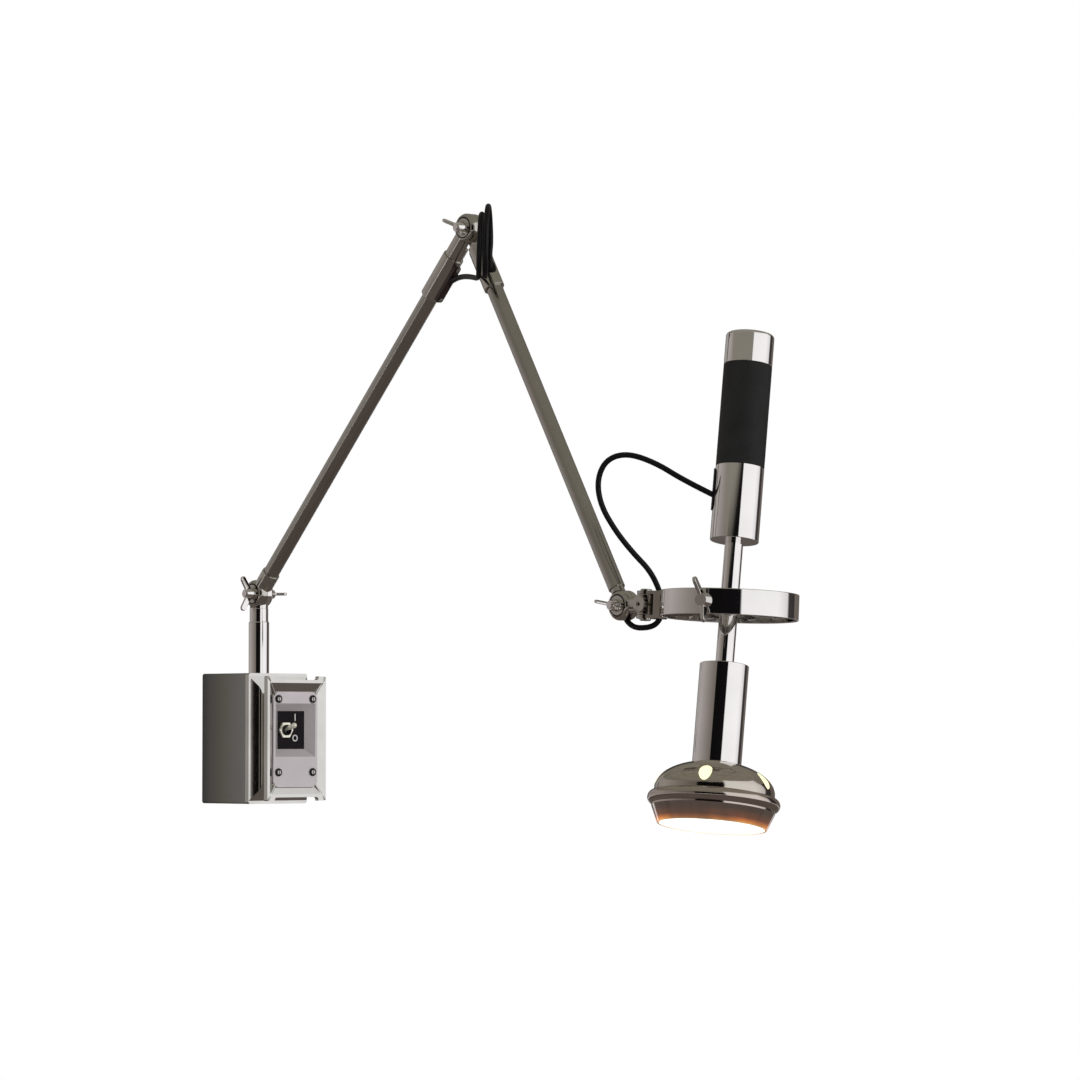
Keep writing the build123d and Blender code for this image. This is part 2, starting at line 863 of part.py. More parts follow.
def make_lower_wire():
    low = ferrule_seat + cable_r
    high = lower_len - lower_tube_stop + cable_r
    lean = tube_r - tube_wall - wire_r - ease
    return at(lower_foot_plane, Pos(0, lean, 0) * rod_z(wire_r, low, high))


# Upper arm
def make_upper_head():
    head = half_drum(1, neck_r, upper_sleeve_from + sleeve_edge, relief_elbow)
    sleeve = rod_z(upper_sleeve_r, upper_sleeve_from, upper_sleeve_to)
    sleeve = fillet(sleeve.edges().group_by(Axis.Z)[-1], sleeve_edge)
    sleeve = fillet(sleeve.edges().group_by(Axis.Z)[0], sleeve_edge)
    head += sleeve
    head -= rod_z(tube_r + ease, upper_sleeve_from + sleeve_edge * 6, 2 * upper_sleeve_to)
    return at(upper_head_plane, head) - entry_bore(entry_hole_r + ease)


def entry_points():
    """Where the elbow's cable meets the upper sleeve, and where it ends inside it."""
    outward = Vector(math.cos(deg(entry_angle)), math.sin(deg(entry_angle)), 0)
    outer = outward * (upper_sleeve_r + entry_proud) + Vector(0, 0, entry_at)
    inner = outward * entry_inner_r + Vector(0, 0, entry_inner_at)
    return upper_head_plane.from_local_coords(outer), upper_head_plane.from_local_coords(inner)


def bore_between(start, end, radius, before, after):
    """A straight bore along start to end, made longer at both ends."""
    plane = Plane(origin=start, z_dir=end - start)
    return at(plane, rod_z(radius, -before, (end - start).length + after))


def entry_bore(radius):
    outer, inner = entry_points()
    return bore_between(outer, inner, radius, upper_sleeve_r, 0)


def make_entry_grommet():
    wall = rod_z(upper_sleeve_r + entry_proud, entry_at - overrun, entry_at + overrun)
    wall -= rod_z(tube_r + rim_gap, -overrun, 2 * overrun)
    rim = wall - rod_z(upper_sleeve_r + ease, -overrun, 2 * overrun)
    body = at(upper_head_plane, wall) & entry_bore(entry_hole_r)
    body += at(upper_head_plane, rim) & entry_bore(entry_flange_r)
    return body - entry_bore(cable_r + ease)


def make_upper_tube():
    tube = rod_z(tube_r, foot_tube_from, upper_len - upper_tube_stop)
    tube -= rod_z(tube_r - tube_wall, 0, 2 * upper_len)
    tube -= rod_x(relief_wrist + rim_gap, -overrun, overrun)
    return at(upper_foot_plane, tube)


def make_upper_foot():
    drum = half_drum(1, foot_spigot_r, foot_spigot_to, relief_wrist)
    drum -= Pos(chord_x, chord_side() * chord_at, 0) * rod_z(chord_bore_r, -overrun, 0)
    drum -= Pos(chord_x, chord_side() * chord_at / 2, 0) * rod_z(chord_bore_r, 0, 0 + overrun)
    return at(upper_foot_plane, drum)


def chord_side():
    """Local +Y of the upper foot's plane points to the front and up."""
    return 1


def make_upper_wire():
    low = foot_spigot_to + cable_r
    high = upper_len - upper_tube_stop
    lean = tube_r - tube_wall - wire_r - ease
    return at(upper_foot_plane, Pos(0, lean, 0) * rod_z(wire_r, low, high))


# Wrist eye with the pan barrel
def make_wrist_eye():
    eye = half_drum(-1, eye_neck_h / 2, relief_wrist, relief_wrist)
    eye = at(eye_plane, eye)
    link = slab(eye_neck_w, barrel_out - relief_wrist, eye_neck_h, 0, -(barrel_out + relief_wrist) / 2)
    link = fillet(link.edges().filter_by(Axis.Y), eye_neck_h / 4)
    eye += Pos(wrist.X, wrist.Y, wrist.Z) * link
    barrel = rod_z(barrel_r, -barrel_half, barrel_half)
    barrel = fillet(barrel.edges(), sleeve_edge)
    boss = rod_x(boss_r, -boss_out, 0)
    boss = fillet(boss.edges().group_by(Axis.X)[0], sleeve_edge)
    barrel += boss
    barrel -= rod_z(pan_pin_r + ease, -overrun, overrun)
    barrel -= rod_x(lock_screw_r + ease, -overrun, 0)
    eye += at(barrel_plane, barrel)
    bore = rod_z(pan_pin_r + ease, -overrun, overrun)
    return eye - at(barrel_plane, bore) - at(barrel_plane, rod_x(lock_screw_r + ease, -overrun, 0))


def make_lock_screw():
    screw = rod_x(lock_screw_r, -boss_out + sleeve_edge, -pan_pin_r - rim_gap)
    hexagon_hole = Rot(0, 90, 0) * hexagon(lock_hex_r * 2, -boss_out, -boss_out + lock_hex_depth)
    return at(barrel_plane, screw - hexagon_hole)


# Ring with its lug
def make_ring_lug():
    reach = ring_out - ring_r
    start = barrel_r + lug_clear
    half = barrel_half + rim_gap + lug_plate_t
    web = slab(lug_w, reach - start + ring_t, 2 * half, 0, -(reach + start + ring_t) / 2)
    lug = web
    for side in (-1, 1):
        low = barrel_half + rim_gap if side > 0 else -half
        plate = rod_z(barrel_r, low, low + lug_plate_t)
        plate += slab(lug_w, start + ring_t, lug_plate_t, 0, -(start + ring_t) / 2, low + lug_plate_t / 2)
        lug += plate
    lug -= rod_z(pan_pin_r + ease, -overrun, overrun)
    foot_h = ring_h - 2 * ring_edge
    foot = rod_z(ring_r + lug_foot_t, -foot_h / 2, foot_h / 2)
    foot &= slab(lug_foot_w, 2 * ring_r, foot_h, 0, ring_r, 0)
    lug += Pos(0, -ring_out, 0) * foot
    lug -= Pos(0, -ring_out, 0) * rod_z(ring_r + ease, -overrun, overrun)
    return at(pan_plane, lug)


def make_pan_pin():
    """A shouldered rivet, with a slotted head above and a formed head below."""
    half = barrel_half + rim_gap + lug_plate_t
    head = rod_z(pan_head_r, half, half + pan_head_h)
    head = fillet(head.edges().group_by(Axis.Z)[-1], pan_head_h / 2)
    foot = rod_z(pan_head_r, -half - pan_head_h, -half)
    foot = fillet(foot.edges().group_by(Axis.Z)[0], pan_head_h / 2)
    pin = rod_z(pan_pin_r, -half, half) + head + foot
    pin -= slab(plate_slot_w, 4 * pan_head_r, pan_head_h, 0, 0, half + pan_head_h)
    return at(pan_plane, pin)


def make_ring_band():
    band = rod_z(ring_r, -ring_h / 2, ring_h / 2) - rod_z(ring_r - ring_t, -ring_h, ring_h)
    band = fillet(band.edges(), ring_edge)
    band -= rod_x(ring_pin_r + ease, -2 * ring_r, 2 * ring_r)
    return at(ring_plane, band)


def ring_seat(side):
    return Plane(origin=(side * (ring_r + rim_gap), 0, 0), x_dir=(0, side, 0), z_dir=(side, 0, 0))


def make_ring_wing():
    """A wing screw through the ring, whose shank is one pivot of the crossbar."""
    screw = Rot(0, 0, ring_wing_turn) * wings(ring_wing_share)
    screw += rod_z(ring_pin_r, -ring_t - ring_pin_in, 0)
    return at(ring_plane, at(ring_seat(-1), screw))


def make_ring_pivot():
    head = rod_z(bolt_head_r, 0, bolt_head_h)
    head = fillet(head.edges().group_by(Axis.Z)[-1], bolt_head_round)
    head += rod_z(ring_pin_r, -ring_t - ring_pin_in, 0)
    return at(ring_plane, at(ring_seat(1), head))


def make_crossbar():
    inner = ring_r - ring_t - 3 * rim_gap
    outer_x = bar_hole_x + bar_wall
    outer_y = bar_hole_y + bar_wall
    bar = rod_x(bar_r, -inner, inner)
    bar = fillet(bar.edges().filter_by(GeomType.CIRCLE), sleeve_edge)
    block = slab(2 * outer_x, 2 * outer_y, bar_h)
    bar += fillet(block.edges().filter_by(Axis.Z), bar_wall - sleeve_edge)
    bar -= slab(2 * bar_hole_x, 2 * bar_hole_y, 2 * bar_h)
    bar -= rod_x(ring_pin_r + ease, -2 * ring_r, ring_pin_in - inner)
    bar -= rod_x(ring_pin_r + ease, inner - ring_pin_in, 2 * ring_r)
    bar -= rod_y(hub_pin_r + ease, -ring_r, ring_r)
    return at(ring_plane, bar)


def make_hub():
    hub = rod_z(hub_r, -hub_h / 2, hub_h / 2)
    hub = fillet(hub.edges(), hub_edge)
    hub -= rod_z(rod_r + ease, -overrun, overrun)
    hub -= rod_y(hub_pin_r + ease, -overrun, overrun)
    return at(head_plane, hub)


def make_hub_pins():
    outer = bar_hole_y + bar_wall
    solids = []
    for side in (-1, 1):
        pin = rod_y(hub_pin_r, hub_r - hub_pin_in, outer)
        pin += rod_y(hub_pin_head_r, outer + ease, outer + ease + hub_pin_head_h)
        pin += rod_y(hub_pin_r, outer, outer + 2 * ease)
        solids.append(pin if side > 0 else mirror(pin, Plane.XZ))
    return at(ring_plane, Compound(children=solids))


# Head
def make_rod():
    tube = rod_z(rod_r, rod_low, rod_top) - rod_z(rod_r - rod_wall, rod_low - rod_r, rod_top + rod_r)
    return at(head_plane, tube)


def port_plane():
    """Square to the handle, facing the arm, where its cable goes in."""
    angle = deg(cable_port_angle)
    outward = Vector(math.cos(angle), math.sin(angle), 0)
    return Plane(origin=outward * barrel_head_r + Vector(0, 0, cable_port_z), x_dir=(0, 0, 1), z_dir=outward)


def make_handle_tube():
    body = rod_z(barrel_head_r, handle_low, handle_top)
    body = fillet(body.edges().group_by(Axis.Z)[0], handle_edge)
    body -= rod_z(barrel_head_r - handle_wall, handle_low + handle_floor, handle_top - handle_floor)
    body += rod_z(core_r, handle_top - handle_floor, core_top)
    body -= rod_z(core_r - core_wall, handle_top - 2 * handle_floor, 2 * core_top)
    body -= rod_z(rod_r + ease, 0, handle_low + 2 * handle_floor)
    port = extrude(SlotOverall(cable_port_h, cable_port_w), handle_wall * 4, both=True)
    return at(head_plane, body - at(port_plane(), port))


def make_port_grommet():
    inner = extrude(SlotOverall(cable_port_h - 2 * rim_gap, cable_port_w - 2 * rim_gap), handle_wall * 2, both=True)
    lip_w = cable_port_w + 2 * cable_port_lip
    lip = extrude(SlotOverall(cable_port_h + 2 * cable_port_lip, lip_w), handle_wall, both=True)
    plug = at(port_plane(), inner)
    shell = rod_z(barrel_head_r + cable_port_proud, handle_low, handle_top) - rod_z(barrel_head_r + ease, 0, core_top)
    collar = at(port_plane(), lip) & shell
    body = rod_z(barrel_head_r + cable_port_proud, handle_low, handle_top)
    body -= rod_z(barrel_head_r - handle_wall - rim_gap, 0, core_top)
    return at(head_plane, (plug & body) + collar) - port_bore(cable_r + ease)


def make_grip():
    grip = rod_z(barrel_head_r, grip_low, grip_top)
    grip = fillet(grip.edges(), handle_edge)
    grip -= rod_z(core_r + ease, 0, 2 * grip_top)
    return at(head_plane, grip)


def make_cap():
    cap = rod_z(barrel_head_r, cap_low, cap_top)
    cap = fillet(cap.edges().group_by(Axis.Z)[-1], cap_round)
    cap = fillet(cap.edges().group_by(Axis.Z)[0], handle_edge)
    cap -= rod_z(barrel_head_r - cap_wall, cap_low - cap_wall, cap_top - cap_wall)
    skirt_r = core_r - core_wall - ease
    skirt = rod_z(skirt_r, cap_low - cap_skirt_h, cap_low + cap_wall)
    skirt -= rod_z(skirt_r - cap_wall / 2, 0, cap_top)
    bridge = rod_z(barrel_head_r - cap_wall, cap_low, cap_low + cap_wall) - rod_z(skirt_r - cap_wall / 2, 0, cap_top)
    return at(head_plane, cap + skirt + bridge)


def make_lamp_house():
    body = rod_z(barrel_head_r, lamp_house_low, lamp_house_top)
    body = fillet(body.edges(), handle_edge)
    body -= rod_z(barrel_head_r - lamp_house_wall, lamp_house_low - lamp_house_roof, lamp_house_top - lamp_house_roof)
    body -= rod_z(rod_r + ease, 2 * lamp_house_low, 0)
    return at(head_plane, body)


def make_heat_sink():
    sink = rod_z(sink_r, sink_low, sink_low + sink_base_t)
    sink += rod_z(sink_core_r, sink_low, sink_top)
    length = sink_top - sink_low
    for k in range(sink_fins):
        fin = slab(sink_r, sink_fin_t, length, sink_r / 2, 0, (sink_top + sink_low) / 2)
        sink += Rot(0, 0, k * 360 / sink_fins) * fin
    sink &= rod_z(sink_r, sink_low, sink_top)
    sink -= rod_z(sink_wire_r, 2 * sink_low, 0)
    return at(head_plane, sink)


def make_lamp():
    top = sink_low
    profile = make_face(
        Polyline(
            (0, top),
            (lamp_r, top),
            (lamp_r, top - lamp_lip),
            (lamp_r - lamp_lip, top - lamp_drop + lamp_lip),
            (0, top - lamp_drop),
            close=True,
        )
    )
    return at(head_plane, revolve(Plane.XZ * profile, Axis.Z))


def make_head_wire():
    return at(head_plane, rod_z(wire_r, sink_low + sink_base_t, handle_low + handle_floor + 3 * handle_floor))


def shade_shell():
    """The spun dome: a quarter of an ellipse turned about the head's axis."""
    def quarter(a, b):
        curve = EllipticalCenterArc((0, shade_mid), a, b, start_angle=0, arc_size=90)
        edges = [curve, Line((0, shade_mid + b), (0, shade_mid)), Line((0, shade_mid), (a, shade_mid))]
        return revolve(Plane.XZ * make_face(edges), Axis.Z)

    return quarter(shade_r, shade_rise) - quarter(shade_r - shade_wall, shade_rise - shade_wall)


def vent_planes():
    planes = []
    slope = deg(vent_slope)
    r = shade_r * math.sin(slope)
    z = shade_mid + shade_rise * math.cos(slope)
    normal_r = math.sin(slope) / shade_r
    normal_z = math.cos(slope) / shade_rise
    size = math.hypot(normal_r, normal_z)
    for k in range(vent_count):
        turn = deg(vent_first + k * 360 / vent_count)
        outward = Vector(math.cos(turn), math.sin(turn), 0)
        normal = outward * (normal_r / size) + Vector(0, 0, normal_z / size)
        across = Vector(-math.sin(turn), math.cos(turn), 0)
        planes.append(Plane(origin=outward * r + Vector(0, 0, z), x_dir=across, z_dir=normal))
    return planes


def make_shade():
    dome = shade_shell()
    rim_low = bead_mid - bead_minor / 2 + ease
    dome += rod_z(shade_r, rim_low, shade_mid) - rod_z(shade_r - shade_wall, 2 * bead_mid, 0)
    dome -= rod_z(shade_bore_r, 2 * sink_low, 0)
    dome &= rod_z(2 * shade_r, 2 * bead_mid, shade_joint - ease)
    for plane in vent_planes():
        dome -= at(plane, extrude(Ellipse(vent_w / 2, vent_l / 2), 4 * shade_wall, both=True))
    return at(head_plane, dome)


def make_vent_glasses():
    shell = shade_shell()
    gap = vent_glass_gap
    solids = []
    for plane in vent_planes():
        plug = at(plane, extrude(Ellipse(vent_w / 2 - gap, vent_l / 2 - gap), 4 * shade_wall, both=True))
        solids.append((plug & shell).solids()[0])
    return at(head_plane, Compound(children=solids))


def make_bead():
    bead = revolve(Plane.XZ * (Pos(bead_major, bead_mid) * Circle(bead_minor)), Axis.Z)
    bead -= rod_z(shade_r + ease, bead_mid - bead_minor / 2, 0)
    bead -= rod_z(skirt_top_r, 2 * bead_mid, skirt_seat)
    bead -= rod_z(shade_r - 3 * shade_wall, 2 * bead_mid, 0)
    return bead


def skirt_radius(z):
    share = (z - skirt_low) / (skirt_bend - skirt_low)
    return skirt_low_r + (skirt_top_r - skirt_low_r) * share


def make_skirt():
    top = skirt_seat
    lip_top = skirt_low + lens_inset
    profile = make_face(
        Polyline(
            (skirt_top_r, top),
            (skirt_top_r, skirt_bend),
            (skirt_low_r, skirt_low),
            (skirt_low_r - skirt_wall - lens_lip, skirt_low),
            (skirt_low_r - skirt_wall - lens_lip, lip_top),
            (skirt_radius(lip_top) - skirt_wall, lip_top),
            (skirt_top_r - skirt_wall, skirt_bend),
            (skirt_top_r - skirt_wall, top),
            close=True,
        )
    )
    return revolve(Plane.XZ * profile, Axis.Z)


def make_shade_rim():
    return at(head_plane, make_bead() + make_skirt())


def make_lens():
    low = skirt_low + lens_inset + ease
    radius = skirt_radius(low) - skirt_wall - rim_gap
    lens = rod_z(radius, low, low + lens_t)
    lens = fillet(lens.edges().group_by(Axis.Z)[0], sleeve_edge)
    return at(head_plane, lens)


def make_lens_gasket():
    low = skirt_low + lens_inset + ease + lens_t
    radius = skirt_radius(low) - skirt_wall - rim_gap
    gasket = rod_z(radius, low, low + gasket_t) - rod_z(radius - gasket_w, low - gasket_t, low + 2 * gasket_t)
    return at(head_plane, gasket)


# Cables
def corner_radii(points):
    radii = []
    for before, point, after in zip(points, points[1:], points[2:]):
        turn = deg((point - before).get_angle(after - point))
        shorter = min((point - before).length, (after - point).length)
        radii.append(run_share * shorter / math.tan(turn / 2))
    return radii


def tube_along(points, radius, name=None):
    points = [Vector(p) for p in points]
    radii = corner_radii(points)
    line = FilletPolyline(*points, radius=radii)
    start = Plane(origin=line @ 0, z_dir=line % 0)
    tube = sweep(start * Circle(radius), path=line)
    if name:
        wanted = math.pi * radius ** 2 * line.length
        print(name, "length", round(line.length, 1), "radii", [round(r, 1) for r in radii])
        print(name, "volume", round(tube.volume, 1), "section times length", round(wanted, 1))
        print(name, "least gap to itself", round(self_gap(line, radius), 2))
    return tube


def self_gap(line, radius):
    steps = int(line.length / radius)
    points = [line @ (k / steps) for k in range(steps + 1)]
    apart = int(5 * math.pi)
    gaps = [
        (points[a] - points[b]).length
        for a in range(len(points))
        for b in range(a + apart, len(points))
    ]
    return min(gaps) - 2 * radius


def coil_point(k):
    """A point of the elbow's coil: depth towards the room's far side, height, and step along its axis."""
    angle = deg(-90 - k * 360 / coil_points)
    rise = (coil_top_from + coil_top_step * k / coil_points - coil_bottom) / 2
    step = coil_start + coil_pitch * k / coil_points + coil_slant * math.cos(angle)
    depth = -coil_ahead + (coil_half_d + coil_grow * k / coil_last) * math.cos(angle)
    return elbow_frame(step, depth, coil_bottom + rise * (1 + math.sin(angle)))


def elbow_frame(step, depth, height):
    along = Vector(math.sin(deg(coil_turn)), math.cos(deg(coil_turn)), 0)
    across = Vector(math.cos(deg(coil_turn)), -math.sin(deg(coil_turn)), 0)
    return elbow + across * step + along * depth + Vector(0, 0, height)


def saddle_out(reach):
    plane = saddle_exit_plane()
    return lower_head_plane.from_local_coords(plane.origin + plane.z_dir * reach)


def elbow_route():
    lead_in = [saddle_out(-saddle_inside), saddle_out(saddle_lead)]
    lead_in += [elbow_frame(*point) for point in elbow_lead]
    coil = [coil_point(k) for k in range(coil_last + 1)]
    outer, inner = entry_points()
    before = outer - (inner - outer).normalized() * entry_lead
    return lead_in + coil + [before, inner]


def port_points():
    """Where the head's cable meets the handle, and where it ends inside the wall."""
    outward = port_plane().z_dir
    inlet = outward * (barrel_head_r + cable_port_proud) + Vector(0, 0, cable_in_z)
    last = head_plane.from_local_coords(inlet)
    before = wrist + Vector(*head_points[-1])
    along = (last - before).normalized()
    return before, last, last + along * (cable_port_proud + cable_in_depth)


def port_bore(radius):
    before, last, end = port_points()
    return bore_between(last, end, radius, 2 * handle_wall, handle_wall)


def wrist_exit():
    reach = math.sqrt(drum_r ** 2 - chord_at ** 2)
    return upper_foot_plane.from_local_coords(Vector(chord_x, chord_side() * chord_at, -reach))


def head_route():
    out = wrist_exit()
    inside = out - upper_dir * chord_inside
    middle = [wrist + Vector(*point) for point in head_points]
    return [inside, out + upper_dir * chord_lead] + middle + [port_points()[2]]


def main():
    pieces = {
        "box_shell": make_box_shell(),
        "supply_grommet": make_supply_grommet(),
        "driver": make_driver(),
        "terminal_block": make_terminal_block(),
        "box_wire": make_stem_wire(),
        "cover_casting": make_cover(),
        "face_plate": make_face_plate(),
        "face_plate_screws": make_plate_screws(),
        "switch_panel": make_switch_panel(),
        "switch_marks": make_switch_marks(),
        "switch_body": make_switch_body(),
        "switch_nut": make_toggle_nut(),
        "toggle_lever": make_toggle_lever(),
        "post": make_post(),
        "post_nut": make_post_nut(),
        "swivel_stem": make_swivel_stem(),
        "stem_clip": make_stem_clip(),
        "shoulder_wing_bolt": at(far_face(shoulder), make_wing_bolt(0)),
        "shoulder_wing_nut": at(near_face(shoulder, ease), make_wing_nut(90)),
        "lower_foot": make_lower_foot(),
        "lower_tube": make_lower_tube(),
        "lower_wire": make_lower_wire(),
        "lower_head": make_lower_head(),
        "cable_saddle": make_cable_saddle(),
        "saddle_screws": make_saddle_screws(),
        "elbow_bolt": at(far_face(elbow), make_knuckle_bolt()),
        "elbow_wing_nut": at(near_face(elbow, ease), make_wing_nut(elbow_wing_turn)),
        "upper_head": make_upper_head(),
        "entry_grommet": make_entry_grommet(),
        "upper_tube": make_upper_tube(),
        "upper_wire": make_upper_wire(),
        "upper_foot": make_upper_foot(),
        "wrist_bolt": at(far_face(wrist), make_knuckle_bolt()),
        "wrist_wing_nut": at(near_face(wrist, ease), make_wing_nut(wrist_wing_turn)),
        "wrist_eye": make_wrist_eye(),
        "pan_lock_screw": make_lock_screw(),
        "ring_lug": make_ring_lug(),
        "pan_pin": make_pan_pin(),
        "ring_band": make_ring_band(),
        "ring_wing_screw": make_ring_wing(),
        "ring_pivot_screw": make_ring_pivot(),
        "crossbar": make_crossbar(),
        "hub": make_hub(),
        "hub_pins": make_hub_pins(),
        "head_rod": make_rod(),
        "handle_tube": make_handle_tube(),
        "port_grommet": make_port_grommet(),
        "grip": make_grip(),
        "cap": make_cap(),
        "lamp_house": make_lamp_house(),
        "heat_sink": make_heat_sink(),
        "lamp": make_lamp(),
        "shade": make_shade(),
        "vent_glasses": make_vent_glasses(),
        "shade_rim": make_shade_rim(),
        "lens": make_lens(),
        "lens_gasket": make_lens_gasket(),
        "head_wire": make_head_wire(),
        "elbow_cable": tube_along(elbow_route(), cable_r, "elbow_cable"),
        "head_cable": tube_along(head_route(), cable_r, "head_cable"),
    }
    for name, piece in pieces.items():
        save(piece, name)


main()
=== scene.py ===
import math

import bmesh
import bpy
from mathutils import Matrix, Vector


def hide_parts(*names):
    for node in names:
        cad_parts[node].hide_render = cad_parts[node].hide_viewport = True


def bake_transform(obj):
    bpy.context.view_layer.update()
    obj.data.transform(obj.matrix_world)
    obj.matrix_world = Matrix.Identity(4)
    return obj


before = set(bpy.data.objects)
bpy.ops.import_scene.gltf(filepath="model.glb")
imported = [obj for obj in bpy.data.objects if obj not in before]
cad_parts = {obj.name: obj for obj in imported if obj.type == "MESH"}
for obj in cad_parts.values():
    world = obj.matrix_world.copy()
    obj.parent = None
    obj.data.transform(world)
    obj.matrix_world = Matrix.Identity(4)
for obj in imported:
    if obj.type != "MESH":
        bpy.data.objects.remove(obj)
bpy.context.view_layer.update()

bl_info = {
    "name": "Wall spotlight",
    "version": (1, 0, 0),
    "blender": (4, 5, 0),
    "location": "View3D > Sidebar > Wall spotlight",
    "description": "Finishes, cables and studio for a jointed wall spotlight",
    "category": "Object",
}

# Places in the row frame, in metres
SHOULDER = Vector((0.0, -0.041, 0.1383))
ELBOW = Vector((0.0, -0.342146, 0.465106))
WRIST = Vector((0.0, -0.54373, 0.116655))
PAN_CENTRE = Vector((0.0, -0.57103, 0.116655))
RING_CENTRE = Vector((0.03193, -0.641517, 0.114982))
HEAD_AXIS = Vector((0.163717, 0.050774, 0.9852))
HEAD_SIDE = Vector((0.896108, 0.409972, -0.17004))
RING_SIDE = Vector((0.909436, 0.413104, -0.047662))
RING_AHEAD = Vector((0.412538, -0.910684, -0.02162))
RING_AXIS = Vector((0.052336, 0.0, 0.99863))
LOWER_DIR = (ELBOW - SHOULDER).normalized()
UPPER_DIR = (WRIST - ELBOW).normalized()

# The cables' routes, as the part's source has them
ELBOW_LEAD = [
    (0.0, -0.30799, 0.41542), (0.0, -0.32109, 0.42038), (-0.00848, -0.34244, 0.42061), (-0.01627, -0.36253, 0.41811),
]
ELBOW_END = [(-0.00553, -0.3743, 0.43688), (-0.0018, -0.37254, 0.42146)]
HEAD_ROUTE = [
    (0.0044, -0.53909, 0.1087), (0.0044, -0.5456, 0.09745), (0.009, -0.56773, 0.09665), (0.0152, -0.57383, 0.10365),
    (0.0159, -0.57523, 0.11665), (0.0138, -0.57453, 0.12905), (0.0062, -0.57003, 0.14685), (-0.0061, -0.56133, 0.16215),
    (-0.0186, -0.55233, 0.18125), (-0.0296, -0.54493, 0.20385), (-0.0332, -0.54423, 0.22555),
    (-0.0288, -0.55103, 0.24335), (-0.0168, -0.56503, 0.24895), (-0.0004, -0.58433, 0.24005),
    (0.0156, -0.60273, 0.22465), (0.03316, -0.62315, 0.21121),
]
SCREW_X = 0.021
SCREW_TOP_Z = 0.0374
SCREW_LOW_Z = -0.0319
COIL_POINTS = 8
COIL_LAST = 14


def coil_point(k):
    """A control point of the elbow's coil, on the same rule as the part's source."""
    angle = math.radians(-90 - k * 360 / COIL_POINTS)
    rise = (0.006 + 0.0075 * k / COIL_POINTS + 0.051) / 2
    step = 0.0086 + 0.0058 * k / COIL_POINTS + 0.0006 * math.cos(angle)
    depth = -0.048 + (0.016 + 0.006 * k / COIL_LAST) * math.cos(angle)
    turn = math.radians(43)
    along = Vector((math.sin(turn), math.cos(turn), 0))
    across = Vector((math.cos(turn), -math.sin(turn), 0))
    return ELBOW + across * step + along * depth + Vector((0, 0, -0.051 + rise * (1 + math.sin(angle))))


# Node material helpers
class Nodes:
    """A material's node tree, with short calls for the nodes that the finishes share."""

    def __init__(self, name):
        self.material = bpy.data.materials.new(name)
        self.material.use_nodes = True
        self.tree = self.material.node_tree
        self.shader = self.tree.nodes["Principled BSDF"]
        self.coords = self.tree.nodes.new("ShaderNodeTexCoord")

    @classmethod
    def of(cls, material):
        """The same short calls on a material that is already there."""
        made = cls.__new__(cls)
        made.material = material
        made.tree = material.node_tree
        made.shader = made.tree.nodes["Principled BSDF"]
        made.coords = made.tree.nodes.new("ShaderNodeTexCoord")
        return made

    def node(self, kind, **values):
        made = self.tree.nodes.new(kind)
        for key, value in values.items():
            if key in made.inputs:
                made.inputs[key].default_value = value
            else:
                setattr(made, key, value)
        return made

    def link(self, out, into):
        self.tree.links.new(out, into)

    def set(self, **values):
        for key, value in values.items():
            self.shader.inputs[key.replace("_", " ")].default_value = value

    def mapped(self, scale=(1, 1, 1), rotation=(0, 0, 0), location=(0, 0, 0)):
        mapping = self.node("ShaderNodeMapping")
        mapping.inputs["Scale"].default_value = scale
        mapping.inputs["Rotation"].default_value = rotation
        mapping.inputs["Location"].default_value = location
        self.link(self.coords.outputs["Object"], mapping.inputs["Vector"])
        return mapping.outputs["Vector"]

    def noise(self, vector, scale, detail=4.0, roughness=0.55):
        made = self.node("ShaderNodeTexNoise", Scale=scale, Detail=detail, Roughness=roughness)
        self.link(vector, made.inputs["Vector"])
        return made.outputs["Fac"]

    def ramp(self, factor, stops):
        made = self.node("ShaderNodeValToRGB")
        elements = made.color_ramp.elements
        while len(elements) < len(stops):
            elements.new(0.5)
        for element, (place, colour) in zip(elements, stops):
            element.position = place
            element.color = colour if len(colour) == 4 else (*colour, 1)
        self.link(factor, made.inputs["Fac"])
        return made.outputs["Color"]

    def spread(self, factor, low, high, from_low=0.3, from_high=0.7):
        made = self.node("ShaderNodeMapRange")
        made.inputs["From Min"].default_value = from_low
        made.inputs["From Max"].default_value = from_high
        made.inputs["To Min"].default_value = low
        made.inputs["To Max"].default_value = high
        self.link(factor, made.inputs["Value"])
        return made.outputs["Result"]

    def math(self, how, first, second=None):
        made = self.node("ShaderNodeMath", operation=how)
        for value, socket in ((first, made.inputs[0]), (second, made.inputs[1])):
            if isinstance(value, (int, float)):
                socket.default_value = value
            elif value is not None:
                self.link(value, socket)
        return made.outputs[0]

    def blend(self, factor, first, second, how="MIX"):
        """Two colours mixed or multiplied; a colour Mix node keeps its sockets at 6 and 7."""
        made = self.node("ShaderNodeMix", data_type="RGBA", blend_type=how)
        if isinstance(factor, float):
            made.inputs[0].default_value = factor
        else:
            self.link(factor, made.inputs[0])
        self.link(first, made.inputs[6])
        self.link(second, made.inputs[7])
        return made.outputs[2]

    def bump(self, height, strength, distance):
        made = self.node("ShaderNodeBump", Strength=strength, Distance=distance)
        self.link(height, made.inputs["Height"])
        self.link(made.outputs["Normal"], self.shader.inputs["Normal"])


def tint(colour, share):
    return tuple(min(1.0, c * share) for c in colour)


